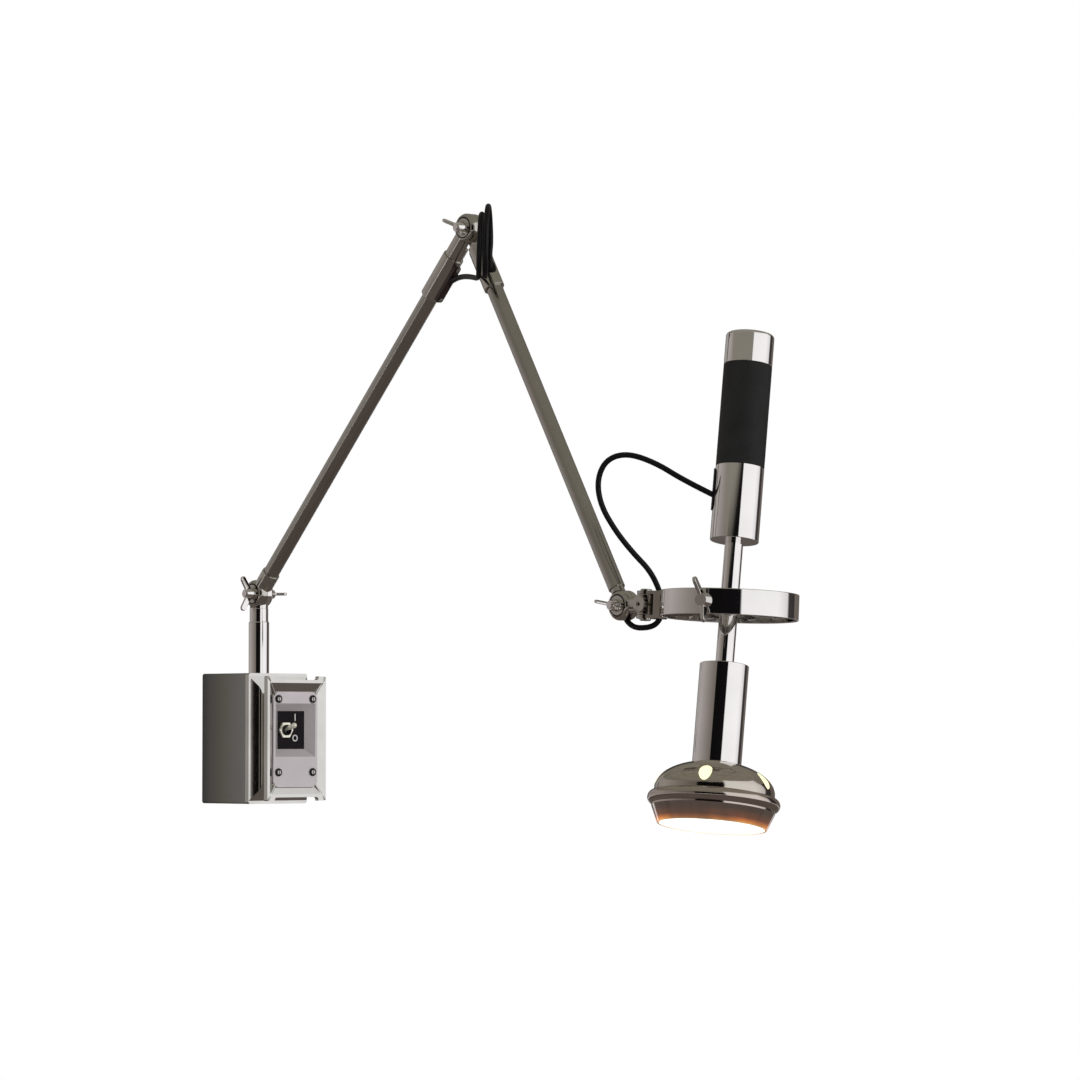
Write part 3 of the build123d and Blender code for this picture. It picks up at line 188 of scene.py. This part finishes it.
def polished_metal(name, colour, roughness=0.08, cloud=0.04, scale=40.0, grain=(1, 1, 1), bump=0.004, metallic=1.0):
    """Plated or polished metal: a slow tone drift, fine wiping marks and a faint unevenness."""
    m = Nodes(name)
    m.set(Metallic=metallic)
    slow = m.noise(m.mapped(), scale)
    fine = m.noise(m.mapped(scale=grain), 900.0, 2.0)
    m.link(m.ramp(slow, [(0.3, tint(colour, 1 - cloud)), (0.7, tint(colour, 1 + cloud))]), m.shader.inputs["Base Color"])
    mix = m.node("ShaderNodeMath", operation="MULTIPLY_ADD")
    m.link(fine, mix.inputs[0])
    mix.inputs[1].default_value = 0.5
    m.link(slow, mix.inputs[2])
    m.link(m.spread(mix.outputs[0], roughness * 0.85, roughness * 1.25, 0.4, 1.1), m.shader.inputs["Roughness"])
    m.bump(fine, bump, 0.0002)
    return m.material


def moulded_plastic(name, colour, roughness=0.5, grain=2200.0, bump=0.15, sheen=0.3):
    """Moulded plastic or rubber: a fine grain with slightly uneven sheen."""
    m = Nodes(name)
    m.set(Specular_IOR_Level=sheen)
    slow = m.noise(m.mapped(), 60.0)
    fine = m.noise(m.mapped(), grain, 2.0)
    m.link(m.ramp(slow, [(0.3, tint(colour, 0.85)), (0.7, tint(colour, 1.2))]), m.shader.inputs["Base Color"])
    m.link(m.spread(fine, roughness * 0.85, roughness * 1.2), m.shader.inputs["Roughness"])
    m.bump(fine, bump, 0.0002)
    return m.material


def painted_steel(name, colour, roughness=0.42):
    """Satin stove paint: very fine orange peel, a few soft clouds and a painted shade that darkens the sides towards
    the wall.
    """
    m = Nodes(name)
    slow = m.noise(m.mapped(), 14.0, 3.0)
    peel = m.noise(m.mapped(), 700.0, 3.0)
    clouds = m.ramp(slow, [(0.3, tint(colour, 0.96)), (0.7, tint(colour, 1.04))])
    # Painted shade and highlight: the sides run from lighter at the front to darker towards the wall, standing in for
    # the reflection on the satin sides
    split = m.node("ShaderNodeSeparateXYZ")
    m.link(m.coords.outputs["Object"], split.inputs["Vector"])
    back = m.ramp(m.spread(split.outputs["Y"], 0.0, 1.0, -0.065, 0.0), [
        (0.0, (1.5, 1.5, 1.5)), (0.3, (1.22, 1.22, 1.2)), (0.5, (1.0, 1.0, 0.84)), (0.8, (0.62, 0.64, 0.62)),
        (1.0, (0.22, 0.23, 0.23)),
    ])
    m.link(m.blend(1.0, clouds, back, "MULTIPLY"), m.shader.inputs["Base Color"])
    m.link(m.spread(peel, roughness * 0.9, roughness * 1.12), m.shader.inputs["Roughness"])
    m.set(Coat_Weight=0.12, Coat_Roughness=0.35)
    m.bump(peel, 0.05, 0.0002)
    return m.material


def cast_metal(name, colour, roughness=0.38, grain=(1, 1, 1), metallic=1.0, bump=0.12):
    """Blasted, brushed or polished casting."""
    m = Nodes(name)
    m.set(Metallic=metallic)
    slow = m.noise(m.mapped(), 22.0, 3.0)
    fine = m.noise(m.mapped(scale=grain), 1300.0, 3.0)
    m.link(m.ramp(slow, [(0.3, tint(colour, 0.93)), (0.7, tint(colour, 1.06))]), m.shader.inputs["Base Color"])
    m.link(m.spread(fine, roughness * 0.8, roughness * 1.25), m.shader.inputs["Roughness"])
    m.bump(fine, bump, 0.0002)
    return m.material


def lit_glass(name, colour, strength, edge=None):
    """Frosted glass lit from behind, with a little mottling."""
    m = Nodes(name)
    mottle = m.noise(m.mapped(), 300.0, 3.0)
    warm = edge or tint(colour, 0.94)
    shade = m.ramp(mottle, [(0.35, warm), (0.65, colour)])
    m.link(shade, m.shader.inputs["Base Color"])
    m.link(shade, m.shader.inputs["Emission Color"])
    m.set(Emission_Strength=strength, Roughness=0.35)
    return m.material


def give(material, *nodes):
    """The material goes on every slot of these CAD nodes."""
    for name in nodes:
        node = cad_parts[name]
        if not node.data.materials:
            node.data.materials.append(material)
        for slot in node.material_slots:
            slot.material = material


# Settings
class WallSpotSettings(bpy.types.PropertyGroup):
    cable_diameter: bpy.props.FloatProperty(
        name="Cable diameter", description="Diameter of both outside cables", default=0.005, min=0.002, max=0.01,
        unit="LENGTH",
    )
    chrome_colour: bpy.props.FloatVectorProperty(
        name="Chrome", description="Mirror plate of the ring, rod and handle", subtype="COLOR", size=3,
        default=(0.88, 0.86, 0.85), min=0, max=1,
    )
    nickel_colour: bpy.props.FloatVectorProperty(
        name="Dark nickel", description="Plate of the arms, knuckles and wing nuts", subtype="COLOR", size=3,
        default=(0.48, 0.46, 0.43), min=0, max=1,
    )
    box_colour: bpy.props.FloatVectorProperty(
        name="Box paint", description="Satin paint of the box's sides", subtype="COLOR", size=3,
        default=(0.098, 0.09, 0.083), min=0, max=1,
    )
    casting_colour: bpy.props.FloatVectorProperty(
        name="Casting", description="Satin aluminium of the cover", subtype="COLOR", size=3,
        default=(0.68, 0.67, 0.645), min=0, max=1,
    )
    grip_colour: bpy.props.FloatVectorProperty(
        name="Grip", description="Matte black sleeve of the handle", subtype="COLOR", size=3,
        default=(0.012, 0.012, 0.012), min=0, max=1,
    )
    lens_strength: bpy.props.FloatProperty(
        name="Lens glow", description="Emission strength of the lit lens", default=1.15, min=0, max=10,
    )
    key_power: bpy.props.FloatProperty(
        name="Key light", description="Power of the large soft lamp", default=30.0, min=0, max=2000, unit="POWER",
    )


def settings():
    return bpy.context.scene.wall_spot


# Camera
class WALLSPOT_OT_camera(bpy.types.Operator):
    """Set the long-lens camera at the photograph's angle"""

    bl_idname = "wallspot.camera"
    bl_label = "Camera"

    def execute(self, context):
        data = bpy.data.cameras.new("camera")
        data.sensor_width = 36.0
        data.lens = 150.0
        data.clip_end = 60.0
        camera = bpy.data.objects.new("camera", data)
        context.scene.collection.objects.link(camera)
        yaw = math.radians(43.0)
        pitch = math.radians(2.4813)
        look = Vector((math.cos(pitch) * math.sin(yaw), math.cos(pitch) * math.cos(yaw), math.sin(pitch)))
        camera.location = (-2.74261, -3.37689, 0.00331)
        camera.rotation_euler = look.to_track_quat("-Z", "Y").to_euler()
        context.scene.camera = camera
        return {"FINISHED"}


# Cables
def route_curve(name, points, radius):
    """A smooth curve with the route's points as its control points."""
    curve = bpy.data.curves.new(name, "CURVE")
    curve.dimensions = "3D"
    curve.resolution_u = 12
    curve.bevel_depth = radius
    curve.bevel_resolution = 4
    spline = curve.splines.new("NURBS")
    spline.points.add(len(points) - 1)
    for place, point in zip(spline.points, points):
        place.co = (*point, 1)
    spline.order_u = 3
    spline.use_endpoint_u = True
    made = bpy.data.objects.new(name, curve)
    bpy.context.scene.collection.objects.link(made)
    return made


def tube_and_path(name, points, radius):
    """The tube's mesh and the points that its spline runs through."""
    bare = route_curve(name + "_line", points, 0.0)
    line = bpy.data.meshes.new_from_object(bare)
    path = [v.co.copy() for v in line.vertices]
    round_one = route_curve(name + "_round", points, radius)
    mesh = bpy.data.meshes.new_from_object(round_one)
    for used in (bare, round_one):
        data = used.data
        bpy.data.objects.remove(used)
        bpy.data.curves.remove(data)
    bpy.data.meshes.remove(line)
    return mesh, path


def tube_piece(name, mesh, path, first, last, material):
    """The stretch of the tube between two of its rings, closed at both ends."""
    rings = len(path)
    sides = len(mesh.vertices) // rings
    if sides * rings != len(mesh.vertices):
        raise RuntimeError(f"{name}: {len(mesh.vertices)} vertices on {rings} rings")
    bm = bmesh.new()
    bm.from_mesh(mesh)
    bm.verts.ensure_lookup_table()
    away = [v for v in bm.verts if not first <= v.index // sides <= last]
    bmesh.ops.delete(bm, geom=away, context="VERTS")
    bmesh.ops.holes_fill(bm, edges=[e for e in bm.edges if e.is_boundary], sides=0)
    bmesh.ops.recalc_face_normals(bm, faces=bm.faces)
    data = bpy.data.meshes.new(name)
    bm.to_mesh(data)
    bm.free()
    for polygon in data.polygons:
        polygon.use_smooth = len(polygon.vertices) == 4
    data.materials.append(material)
    made = bpy.data.objects.new(name, data)
    bpy.context.scene.collection.objects.link(made)
    return made


def nearest(path, point):
    gaps = [(p - Vector(point)).length for p in path]
    return gaps.index(min(gaps))


class WALLSPOT_OT_cables(bpy.types.Operator):
    """Lay the coil at the elbow and the loop up to the handle"""

    bl_idname = "wallspot.cables"
    bl_label = "Cables"

    def execute(self, context):
        size = settings().cable_diameter
        sheath = moulded_plastic("black cable sheath", (0.005, 0.0045, 0.005), 0.3, 1600.0, 0.05, 0.22)
        coil = ELBOW_LEAD + [tuple(coil_point(k)) for k in range(COIL_LAST + 1)] + ELBOW_END
        mesh, path = tube_and_path("elbow_cable_tube", coil, size / 2)
        piece = tube_piece("elbow_cable_skin", mesh, path, 0, len(path) - 1, sheath)
        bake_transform(piece)
        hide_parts("elbow_cable")

        mesh, path = tube_and_path("head_cable_tube", HEAD_ROUTE, size / 2)
        cuts = [0, nearest(path, (0.0135, -0.5725, 0.1005)), nearest(path, (0.009, -0.5717, 0.1400)),
                nearest(path, (-0.0325, -0.5448, 0.2200)), len(path) - 1]
        links = [("upper_arm", "wrist"), ("wrist", "ring"), ("ring", "gimbal"), ("gimbal", "head")]
        for number, (pair, first, last) in enumerate(zip(links, cuts, cuts[1:]), 1):
            part = tube_piece(f"head_cable_skin_{number}", mesh, path, first, last, sheath)
            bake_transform(part)
            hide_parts("head_cable")
        return {"FINISHED"}


# Finishes
class WALLSPOT_OT_box(bpy.types.Operator):
    """Finish the switch box, its cover and its switch"""

    bl_idname = "wallspot.box"
    bl_label = "Switch box"

    def execute(self, context):
        s = settings()
        give(painted_steel("satin grey box paint", s.box_colour), "box_shell")
        give(cast_metal("polished casting", s.casting_colour, 0.09, bump=0.01), "cover_casting")
        plate = cast_metal("brushed face plate", (0.62, 0.57, 0.585), 0.34, (60, 1, 1), 0.4, 0.06)
        give(plate, "face_plate")
        steel = polished_metal("bright steel", (0.52, 0.52, 0.51), 0.18)
        give(steel, "post_nut", "stem_clip", "saddle_screws")
        give(self.screws_with_painted_shadow_ring(), "face_plate_screws")
        give(polished_metal("bright switch plate", (0.95, 0.91, 0.78), 0.2, metallic=0.6), "switch_nut", "toggle_lever")
        black = moulded_plastic("black moulding", (0.006, 0.004, 0.006), 0.4, sheen=0.12)
        give(
            black, "switch_panel", "switch_body", "supply_grommet", "terminal_block", "driver", "entry_grommet",
            "port_grommet", "lens_gasket",
        )
        give(moulded_plastic("glossy brown-black saddle", (0.014, 0.006, 0.005), 0.18, bump=0.03, sheen=0.6), "cable_saddle")
        give(moulded_plastic("white print", (0.75, 0.75, 0.73), 0.5), "switch_marks")
        wire = moulded_plastic("wire sheath", (0.02, 0.02, 0.02), 0.5)
        give(wire, "box_wire", "lower_wire", "upper_wire", "head_wire")
        return {"FINISHED"}


    def screws_with_painted_shadow_ring(self):
        """Slotted screw heads with a painted shadow ring at their edge, where the counterbore's shade falls against the
        plate.
        """
        m = Nodes("slotted screws with painted shadow ring")
        m.set(Metallic=1.0, Roughness=0.25)
        split = m.node("ShaderNodeSeparateXYZ")
        m.link(m.coords.outputs["Object"], split.inputs["Vector"])
        across = m.math("SUBTRACT", m.math("ABSOLUTE", split.outputs["X"]), SCREW_X)
        high = m.math("ABSOLUTE", m.math("SUBTRACT", split.outputs["Z"], SCREW_TOP_Z))
        low = m.math("ABSOLUTE", m.math("SUBTRACT", split.outputs["Z"], SCREW_LOW_Z))
        up = m.math("MINIMUM", high, low)
        reach = m.math("SQRT", m.math("ADD", m.math("MULTIPLY", across, across), m.math("MULTIPLY", up, up)))
        # Painted shadow: light heads, each with a dark ring round it for the counterbore's shade
        m.link(m.ramp(m.spread(reach, 0.0, 1.0, 0.0, 0.004), [
            (0.0, (0.5, 0.48, 0.46)), (0.45, (0.5, 0.48, 0.46)), (0.55, (0.03, 0.028, 0.028)), (1.0, (0.03, 0.028, 0.028)),
        ]), m.shader.inputs["Base Color"])
        return m.material


class WALLSPOT_OT_arms(bpy.types.Operator):
    """Finish the post, the arms, the knuckles and their wing nuts"""

    bl_idname = "wallspot.arms"
    bl_label = "Arms"

    def execute(self, context):
        s = settings()
        nickel = polished_metal("dark nickel tube", s.nickel_colour, 0.2, 0.05, 30.0)
        give(nickel, "lower_tube", "upper_tube")
        tone = tint(s.nickel_colour, 1.2)
        knuckle = polished_metal("polished knuckle", tone, 0.13, 0.04, 40.0)
        give(knuckle, "upper_head", "upper_foot", "ring_lug", "pan_pin", "pan_lock_screw")
        # These knuckles get a painted shade ring round the nut on their outer face
        for node, centre in (("lower_foot", SHOULDER), ("lower_head", ELBOW), ("wrist_eye", WRIST)):
            give(self.ringed("ringed " + node.replace("_", " "), tone, centre), node)
        bright = polished_metal("chromed fittings", s.chrome_colour, 0.07)
        give(
            bright, "swivel_stem", "shoulder_wing_bolt", "shoulder_wing_nut", "elbow_bolt", "elbow_wing_nut",
            "wrist_bolt", "wrist_wing_nut",
        )
        return {"FINISHED"}


    def ringed(self, name, colour, centre):
        """The knuckle's metal, with a painted shade ring round the nut on its outer face, standing in for the shade in
        a recess there.
        """
        material = polished_metal(name, colour, 0.13, 0.04, 40.0)
        m = Nodes.of(material)
        away = m.node("ShaderNodeVectorMath", operation="SUBTRACT")
        m.link(m.coords.outputs["Object"], away.inputs[0])
        away.inputs[1].default_value = centre
        flat = m.node("ShaderNodeVectorMath", operation="MULTIPLY")
        m.link(away.outputs["Vector"], flat.inputs[0])
        flat.inputs[1].default_value = (0, 1, 1)
        reach = m.node("ShaderNodeVectorMath", operation="LENGTH")
        m.link(flat.outputs["Vector"], reach.inputs[0])
        # Painted shade: a dark ring about 9 mm from the bolt, only on the outer face
        painted_groove_shade = m.ramp(m.spread(reach.outputs["Value"], 0.0, 1.0, 0.0, 0.02), [
            (0.0, (1, 1, 1)), (0.42, (1, 1, 1)), (0.445, (0.03, 0.03, 0.03)), (0.49, (0.03, 0.03, 0.03)),
            (0.515, (1, 1, 1)),
        ])
        split = m.node("ShaderNodeSeparateXYZ")
        m.link(away.outputs["Vector"], split.inputs["Vector"])
        outer = m.spread(split.outputs["X"], 1.0, 0.0, -0.0084, -0.0078)
        plain = m.shader.inputs["Base Color"].links[0].from_socket
        dark = m.blend(1.0, plain, painted_groove_shade, "MULTIPLY")
        m.link(m.blend(outer, plain, dark), m.shader.inputs["Base Color"])
        return material


class WALLSPOT_OT_ring(bpy.types.Operator):
    """Finish the ring, its wing screw and the crossbar"""

    bl_idname = "wallspot.ring"
    bl_label = "Ring"

    def execute(self, context):
        s = settings()
        chrome = polished_metal("ring chrome", s.chrome_colour, 0.045, 0.04, 25.0)
        give(chrome, "ring_band")
        give(polished_metal("ring screws", tint(s.chrome_colour, 0.85), 0.09), "ring_wing_screw", "ring_pivot_screw")
        give(polished_metal("gimbal nickel", tint(s.nickel_colour, 0.8), 0.2), "crossbar", "hub", "hub_pins")
        return {"FINISHED"}


class WALLSPOT_OT_head(bpy.types.Operator):
    """Finish the rod, the handle, the lamp house and the shade"""

    bl_idname = "wallspot.head"
    bl_label = "Head"

    def execute(self, context):
        s = settings()
        chrome = polished_metal("head chrome", s.chrome_colour, 0.04, 0.04, 30.0)
        give(chrome, "post", "head_rod", "handle_tube", "lamp_house", "cap")
        give(moulded_plastic("matte black sleeve", s.grip_colour, 0.62, 2600.0, 0.25), "grip")
        give(polished_metal("smoked chrome", (0.60, 0.555, 0.50), 0.08, 0.04, 30.0), "shade")
        give(self.rim_with_painted_glow("smoked chrome rim with painted glow", (0.60, 0.53, 0.48)), "shade_rim")
        give(lit_glass("vent glow", (1.0, 0.94, 0.55), 0.7), "vent_glasses")
        give(lit_glass("lamp glow", (1.0, 0.93, 0.8), 1.0), "lamp")
        give(lit_glass("lit frosted lens", (1.0, 0.985, 0.95), s.lens_strength), "lens")
        give(cast_metal("plain aluminium", (0.5, 0.5, 0.5), 0.45), "heat_sink")
        return {"FINISHED"}

    def rim_with_painted_glow(self, name, colour):
        """Smoked chrome with a painted orange glow next to the lens: the rim itself emits, standing in for the lamp's
        light falling on it.
        """
        material = polished_metal(name, colour, 0.09)
        tree = material.node_tree
        edge = min(v.co.dot(HEAD_AXIS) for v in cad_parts["shade_rim"].data.vertices)
        coords = tree.nodes.new("ShaderNodeTexCoord")
        along = tree.nodes.new("ShaderNodeVectorMath")
        along.operation = "DOT_PRODUCT"
        along.inputs[1].default_value = HEAD_AXIS
        tree.links.new(coords.outputs["Object"], along.inputs[0])
        reach = tree.nodes.new("ShaderNodeMapRange")
        reach.inputs["From Min"].default_value = edge
        reach.inputs["From Max"].default_value = edge + 0.011
        tree.links.new(along.outputs["Value"], reach.inputs["Value"])
        # Painted light: orange emission fading up the rim from its lower edge
        glow = tree.nodes.new("ShaderNodeValToRGB")
        stops = [(0.0, (1.0, 0.5, 0.16)), (0.16, (0.8, 0.22, 0.025)), (0.42, (0.16, 0.03, 0.002)), (1.0, (0, 0, 0))]
        while len(glow.color_ramp.elements) < len(stops):
            glow.color_ramp.elements.new(0.5)
        for element, (place, shade) in zip(glow.color_ramp.elements, stops):
            element.position = place
            element.color = (*shade, 1)
        tree.links.new(reach.outputs["Result"], glow.inputs["Fac"])
        shader = tree.nodes["Principled BSDF"]
        tree.links.new(glow.outputs["Color"], shader.inputs["Emission Color"])
        # Uneven strength of the painted glow
        uneven = tree.nodes.new("ShaderNodeTexNoise")
        uneven.inputs["Scale"].default_value = 26.0
        tree.links.new(coords.outputs["Object"], uneven.inputs["Vector"])
        strength = tree.nodes.new("ShaderNodeMapRange")
        strength.inputs["From Min"].default_value = 0.36
        strength.inputs["From Max"].default_value = 0.64
        strength.inputs["To Min"].default_value = 0.2
        strength.inputs["To Max"].default_value = 0.85
        tree.links.new(uneven.outputs["Fac"], strength.inputs["Value"])
        tree.links.new(strength.outputs["Result"], shader.inputs["Emission Strength"])
        return material


# Stage
def background_rays(tree):
    """1 on camera, glossy and transmission rays, so that metal and glass show the background too."""
    path = tree.nodes.new("ShaderNodeLightPath")
    last = path.outputs["Is Camera Ray"]
    for name in ("Is Glossy Ray", "Is Transmission Ray"):
        most = tree.nodes.new("ShaderNodeMath")
        most.operation = "MAXIMUM"
        tree.links.new(last, most.inputs[0])
        tree.links.new(path.outputs[name], most.inputs[1])
        last = most.outputs["Value"]
    return last


# The studio's walls by compass direction, as (share of a turn from -X, colour): dark flags and a white window
WALL_STOPS = [
    (0.000, (0.20, 0.175, 0.155)), (0.034, (0.17, 0.15, 0.13)), (0.040, (0.004, 0.004, 0.004)),
    (0.180, (0.006, 0.005, 0.006)), (0.187, (0.95, 0.95, 0.95)), (0.36, (1.0, 1.0, 1.0)), (0.425, (0.78, 0.76, 0.77)),
    (0.437, (0.05, 0.045, 0.045)), (0.490, (0.04, 0.035, 0.035)), (0.497, (0.16, 0.135, 0.12)),
    (0.585, (0.15, 0.125, 0.11)), (0.60, (0.05, 0.045, 0.04)), (0.66, (0.06, 0.055, 0.05)),
    (0.70, (0.36, 0.34, 0.325)), (0.82, (0.40, 0.37, 0.355)), (1.0, (0.20, 0.175, 0.155)),
]

# Above the flags only the window stands out
HIGH_STOPS = [
    (0.000, (0.24, 0.225, 0.19)), (0.180, (0.24, 0.225, 0.19)), (0.190, (0.95, 0.95, 0.95)), (0.40, (0.9, 0.9, 0.9)),
    (0.43, (0.24, 0.22, 0.19)), (1.0, (0.24, 0.225, 0.19)),
]


class WALLSPOT_OT_stage(bpy.types.Operator):
    """Set the pale floor, the white surroundings, the studio's flags and the soft lamps"""

    bl_idname = "wallspot.stage"
    bl_label = "Studio"

    def execute(self, context):
        self.world(context)
        self.floor(context)
        self.walls(context)
        self.card(context, "studio_ceiling", 4.5, 3.4, (0.26, 0.245, 0.205))
        self.card(context, "studio_dark_mat", 3.6, -0.745, (0.125, 0.105, 0.095))
        middle = Vector((0.0, -0.42, 0.22))
        self.lamp(context, "key", (-1.6, -2.6, 1.9), middle, 1.6, settings().key_power)
        self.lamp(context, "fill", (-2.6, 0.3, 0.9), middle, 1.8, settings().key_power * 0.35)
        self.lamp(context, "side", (2.0, -1.8, 0.8), middle, 1.2, settings().key_power * 0.5)
        return {"FINISHED"}

    def world(self, context):
        world = bpy.data.worlds.new("studio")
        context.scene.world = world
        world.use_nodes = True
        tree = world.node_tree
        tree.nodes.clear()
        out = tree.nodes.new("ShaderNodeOutputWorld")
        shades = []
        for strength in (0.45, 1.0):
            back = tree.nodes.new("ShaderNodeBackground")
            back.inputs["Color"].default_value = (1, 1, 1, 1)
            back.inputs["Strength"].default_value = strength
            shades.append(back.outputs["Background"])
        mix = tree.nodes.new("ShaderNodeMixShader")
        tree.links.new(background_rays(tree), mix.inputs["Fac"])
        tree.links.new(shades[0], mix.inputs[1])
        tree.links.new(shades[1], mix.inputs[2])
        tree.links.new(mix.outputs["Shader"], out.inputs["Surface"])

    def add(self, context, name, bm, material):
        mesh = bpy.data.meshes.new(name)
        bm.to_mesh(mesh)
        bm.free()
        mesh.materials.append(material)
        made = bpy.data.objects.new(name, mesh)
        context.scene.collection.objects.link(made)
        return made

    def floor(self, context):
        bm = bmesh.new()
        bmesh.ops.create_grid(bm, x_segments=1, y_segments=1, size=14.0)
        bmesh.ops.translate(bm, verts=bm.verts, vec=(0, -1.0, -0.75))
        m = Nodes("pale studio floor")
        slow = m.noise(m.mapped(), 2.0)
        m.link(m.ramp(slow, [(0.3, (0.88, 0.88, 0.88)), (0.7, (0.92, 0.92, 0.92))]), m.shader.inputs["Base Color"])
        m.set(Roughness=0.8)
        # Mostly the white of the background, with the object's shadow still on it
        away = m.node("ShaderNodeVectorMath", operation="LENGTH")
        m.link(m.coords.outputs["Object"], away.inputs[0])
        share = m.node("ShaderNodeMath", operation="MULTIPLY")
        m.link(background_rays(m.tree), share.inputs[0])
        m.link(m.spread(away.outputs["Value"], 0.85, 1.0, 1.5, 5.0), share.inputs[1])
        glow = m.node("ShaderNodeEmission")
        mix = m.node("ShaderNodeMixShader")
        m.link(share.outputs["Value"], mix.inputs["Fac"])
        m.link(m.shader.outputs["BSDF"], mix.inputs[1])
        m.link(glow.outputs["Emission"], mix.inputs[2])
        m.link(mix.outputs["Shader"], m.tree.nodes["Material Output"].inputs["Surface"])
        self.add(context, "pale_floor", bm, m.material)

    def only_mirrored(self, made):
        """Metal mirrors the card, and nothing else sees it or is shaded by it."""
        made.visible_camera = False
        made.visible_diffuse = False
        made.visible_transmission = False
        made.visible_volume_scatter = False
        made.visible_shadow = False
        made.data.materials[0].cycles.emission_sampling = "NONE"

    def glow_material(self, name):
        m = Nodes(name)
        glow = m.node("ShaderNodeEmission")
        m.link(glow.outputs["Emission"], m.tree.nodes["Material Output"].inputs["Surface"])
        return m, glow

    def card(self, context, name, radius, height, colour):
        bm = bmesh.new()
        bmesh.ops.create_circle(bm, cap_ends=True, segments=48, radius=radius)
        bmesh.ops.translate(bm, verts=bm.verts, vec=(0, -0.4, height))
        m, glow = self.glow_material(name.replace("_", " "))
        slow = m.noise(m.mapped(), 1.5)
        m.link(m.ramp(slow, [(0.3, tint(colour, 0.85)), (0.7, tint(colour, 1.2))]), glow.inputs["Color"])
        self.only_mirrored(self.add(context, name, bm, m.material))

    def walls(self, context):
        bm = bmesh.new()
        bmesh.ops.create_cone(
            bm, cap_ends=False, segments=96, radius1=4.5, radius2=4.5, depth=4.2,
            matrix=Matrix.Translation((0, 0, 1.3)),
        )
        m, glow = self.glow_material("studio walls")
        split = m.node("ShaderNodeSeparateXYZ")
        m.link(m.coords.outputs["Object"], split.inputs["Vector"])
        turn = m.node("ShaderNodeMath", operation="ARCTAN2")
        m.link(split.outputs["Y"], turn.inputs[0])
        m.link(split.outputs["X"], turn.inputs[1])
        share = m.spread(turn.outputs["Value"], 0.0, 1.0, -math.pi, math.pi)
        height = m.spread(split.outputs["Z"], 0.0, 1.0, 1.8, 2.0)
        m.link(m.blend(height, m.ramp(share, WALL_STOPS), m.ramp(share, HIGH_STOPS)), glow.inputs["Color"])
        made = self.add(context, "studio_walls", bm, m.material)
        made.location = (0, -0.4, 0)
        self.only_mirrored(made)

    def lamp(self, context, name, place, aim, size, power):
        data = bpy.data.lights.new(name, "AREA")
        data.shape = "SQUARE"
        data.size = size
        data.energy = power
        made = bpy.data.objects.new(name, data)
        made.location = place
        made.rotation_euler = (aim - Vector(place)).to_track_quat("-Z", "Y").to_euler()
        made.visible_glossy = False
        context.scene.collection.objects.link(made)


class WALLSPOT_PT_panel(bpy.types.Panel):
    """Wall spotlight steps and settings"""

    bl_idname = "WALLSPOT_PT_panel"
    bl_label = "Wall spotlight"
    bl_space_type = "VIEW_3D"
    bl_region_type = "UI"
    bl_category = "Wall spotlight"

    def draw(self, context):
        for name in WallSpotSettings.__annotations__:
            self.layout.prop(context.scene.wall_spot, name)
        for step in STEPS:
            self.layout.operator(step.bl_idname)


STEPS = (
    WALLSPOT_OT_camera,
    WALLSPOT_OT_cables,
    WALLSPOT_OT_box,
    WALLSPOT_OT_arms,
    WALLSPOT_OT_ring,
    WALLSPOT_OT_head,
    WALLSPOT_OT_stage,
)


def register():
    bpy.utils.register_class(WallSpotSettings)
    bpy.types.Scene.wall_spot = bpy.props.PointerProperty(type=WallSpotSettings)
    for step in STEPS:
        bpy.utils.register_class(step)
    bpy.utils.register_class(WALLSPOT_PT_panel)


def unregister():
    bpy.utils.unregister_class(WALLSPOT_PT_panel)
    for step in reversed(STEPS):
        bpy.utils.unregister_class(step)
    del bpy.types.Scene.wall_spot
    bpy.utils.unregister_class(WallSpotSettings)


def main():
    register()
    bpy.context.scene.view_settings.view_transform = "Standard"
    bpy.ops.wallspot.camera()
    bpy.ops.wallspot.cables()
    bpy.ops.wallspot.box()
    bpy.ops.wallspot.arms()
    bpy.ops.wallspot.ring()
    bpy.ops.wallspot.head()
    bpy.ops.wallspot.stage()


if __name__ == "__main__":
    main()
